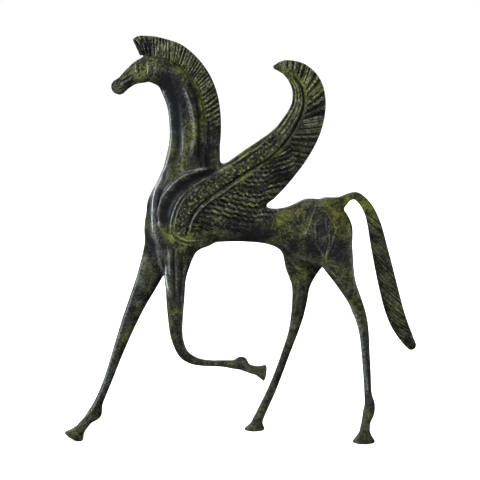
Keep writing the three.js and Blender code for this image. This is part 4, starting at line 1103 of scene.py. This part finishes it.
class HORSE_OT_stage(bpy.types.Operator):
    """Lays the floor and sets the lights and the camera"""

    bl_idname = "winged_horse.stage"
    bl_label = "Set the stage"

    def execute(self, context):
        stage = context.scene.horse_stage
        reach = stage.floor_reach
        corners = np.array([(-reach, -reach, 0), (reach, -reach, 0), (reach, reach, 0), (-reach, reach, 0)])
        floor = bpy.data.objects.new("Floor", flat_mesh("Floor", corners, np.array([[0, 1, 2, 3]])))
        floor.data.materials.append(plain_material("Pale floor", [stage.floor_tone] * 3, 0.7))
        context.scene.collection.objects.link(floor)
        floor.visible_glossy = False
        only_floor = bpy.data.collections.new("Floor light")
        only_floor.objects.link(floor)
        sun = add_light("Floor light", "SUN", stage.floor_light, angle=math.radians(60))
        sun.light_linking.receiver_collection = only_floor
        softbox("Left softbox", (-1.05, -0.45, 0.45), (0.5, 1), stage.key_light, (0.88, 0.93, 1))
        softbox("Right softbox", (1, -0.6, 0.4), (0.25, 0.9), stage.fill_light * 1.5)
        softbox("Back softbox", (-0.3, 1.35, 0.7), (1.2, 0.9), stage.fill_light * 4)
        softbox("Camera softbox", (0.35, -1.5, 0.9), (0.9, 0.9), stage.fill_light)
        softbox("Top softbox", (0.1, -0.3, 1.3), (0.9, 0.5), stage.fill_light * 2.4)
        set_world(stage)
        set_camera(stage)
        context.scene.view_settings.view_transform = "Standard"
        return {"FINISHED"}


class HORSE_PT_panel(bpy.types.Panel):
    """Lists the steps and the sizes and colours that they use"""

    bl_label = "Winged horse"
    bl_idname = "HORSE_PT_panel"
    bl_space_type = "VIEW_3D"
    bl_region_type = "UI"
    bl_category = "Winged horse"

    def draw(self, context):
        column = self.layout.column(align=True)
        for operator in OPERATORS:
            column.operator(operator.bl_idname)
        for name, (group, title) in SETTINGS.items():
            box = self.layout.box()
            box.label(text=title)
            for key in group.__annotations__:
                box.prop(getattr(context.scene, name), key)


OPERATORS = (HORSE_OT_skin, HORSE_OT_strands, HORSE_OT_stage)
SETTINGS = {
    "horse_carving": (CarvingSizes, "Chasing"),
    "horse_finish": (BronzeFinish, "Bronze and patina"),
    "horse_stage": (StageSettings, "Stage"),
}


def register():
    for name, (group, _) in SETTINGS.items():
        bpy.utils.register_class(group)
        setattr(bpy.types.Scene, name, bpy.props.PointerProperty(type=group))
    for made in (*OPERATORS, HORSE_PT_panel):
        bpy.utils.register_class(made)


def unregister():
    for made in (HORSE_PT_panel, *reversed(OPERATORS)):
        bpy.utils.unregister_class(made)
    for name, (group, _) in SETTINGS.items():
        delattr(bpy.types.Scene, name)
        bpy.utils.unregister_class(group)


def main():
    register()
    bpy.ops.winged_horse.skin()
    bpy.ops.winged_horse.strands()
    bpy.ops.winged_horse.stage()


if __name__ == "__main__":
    main()
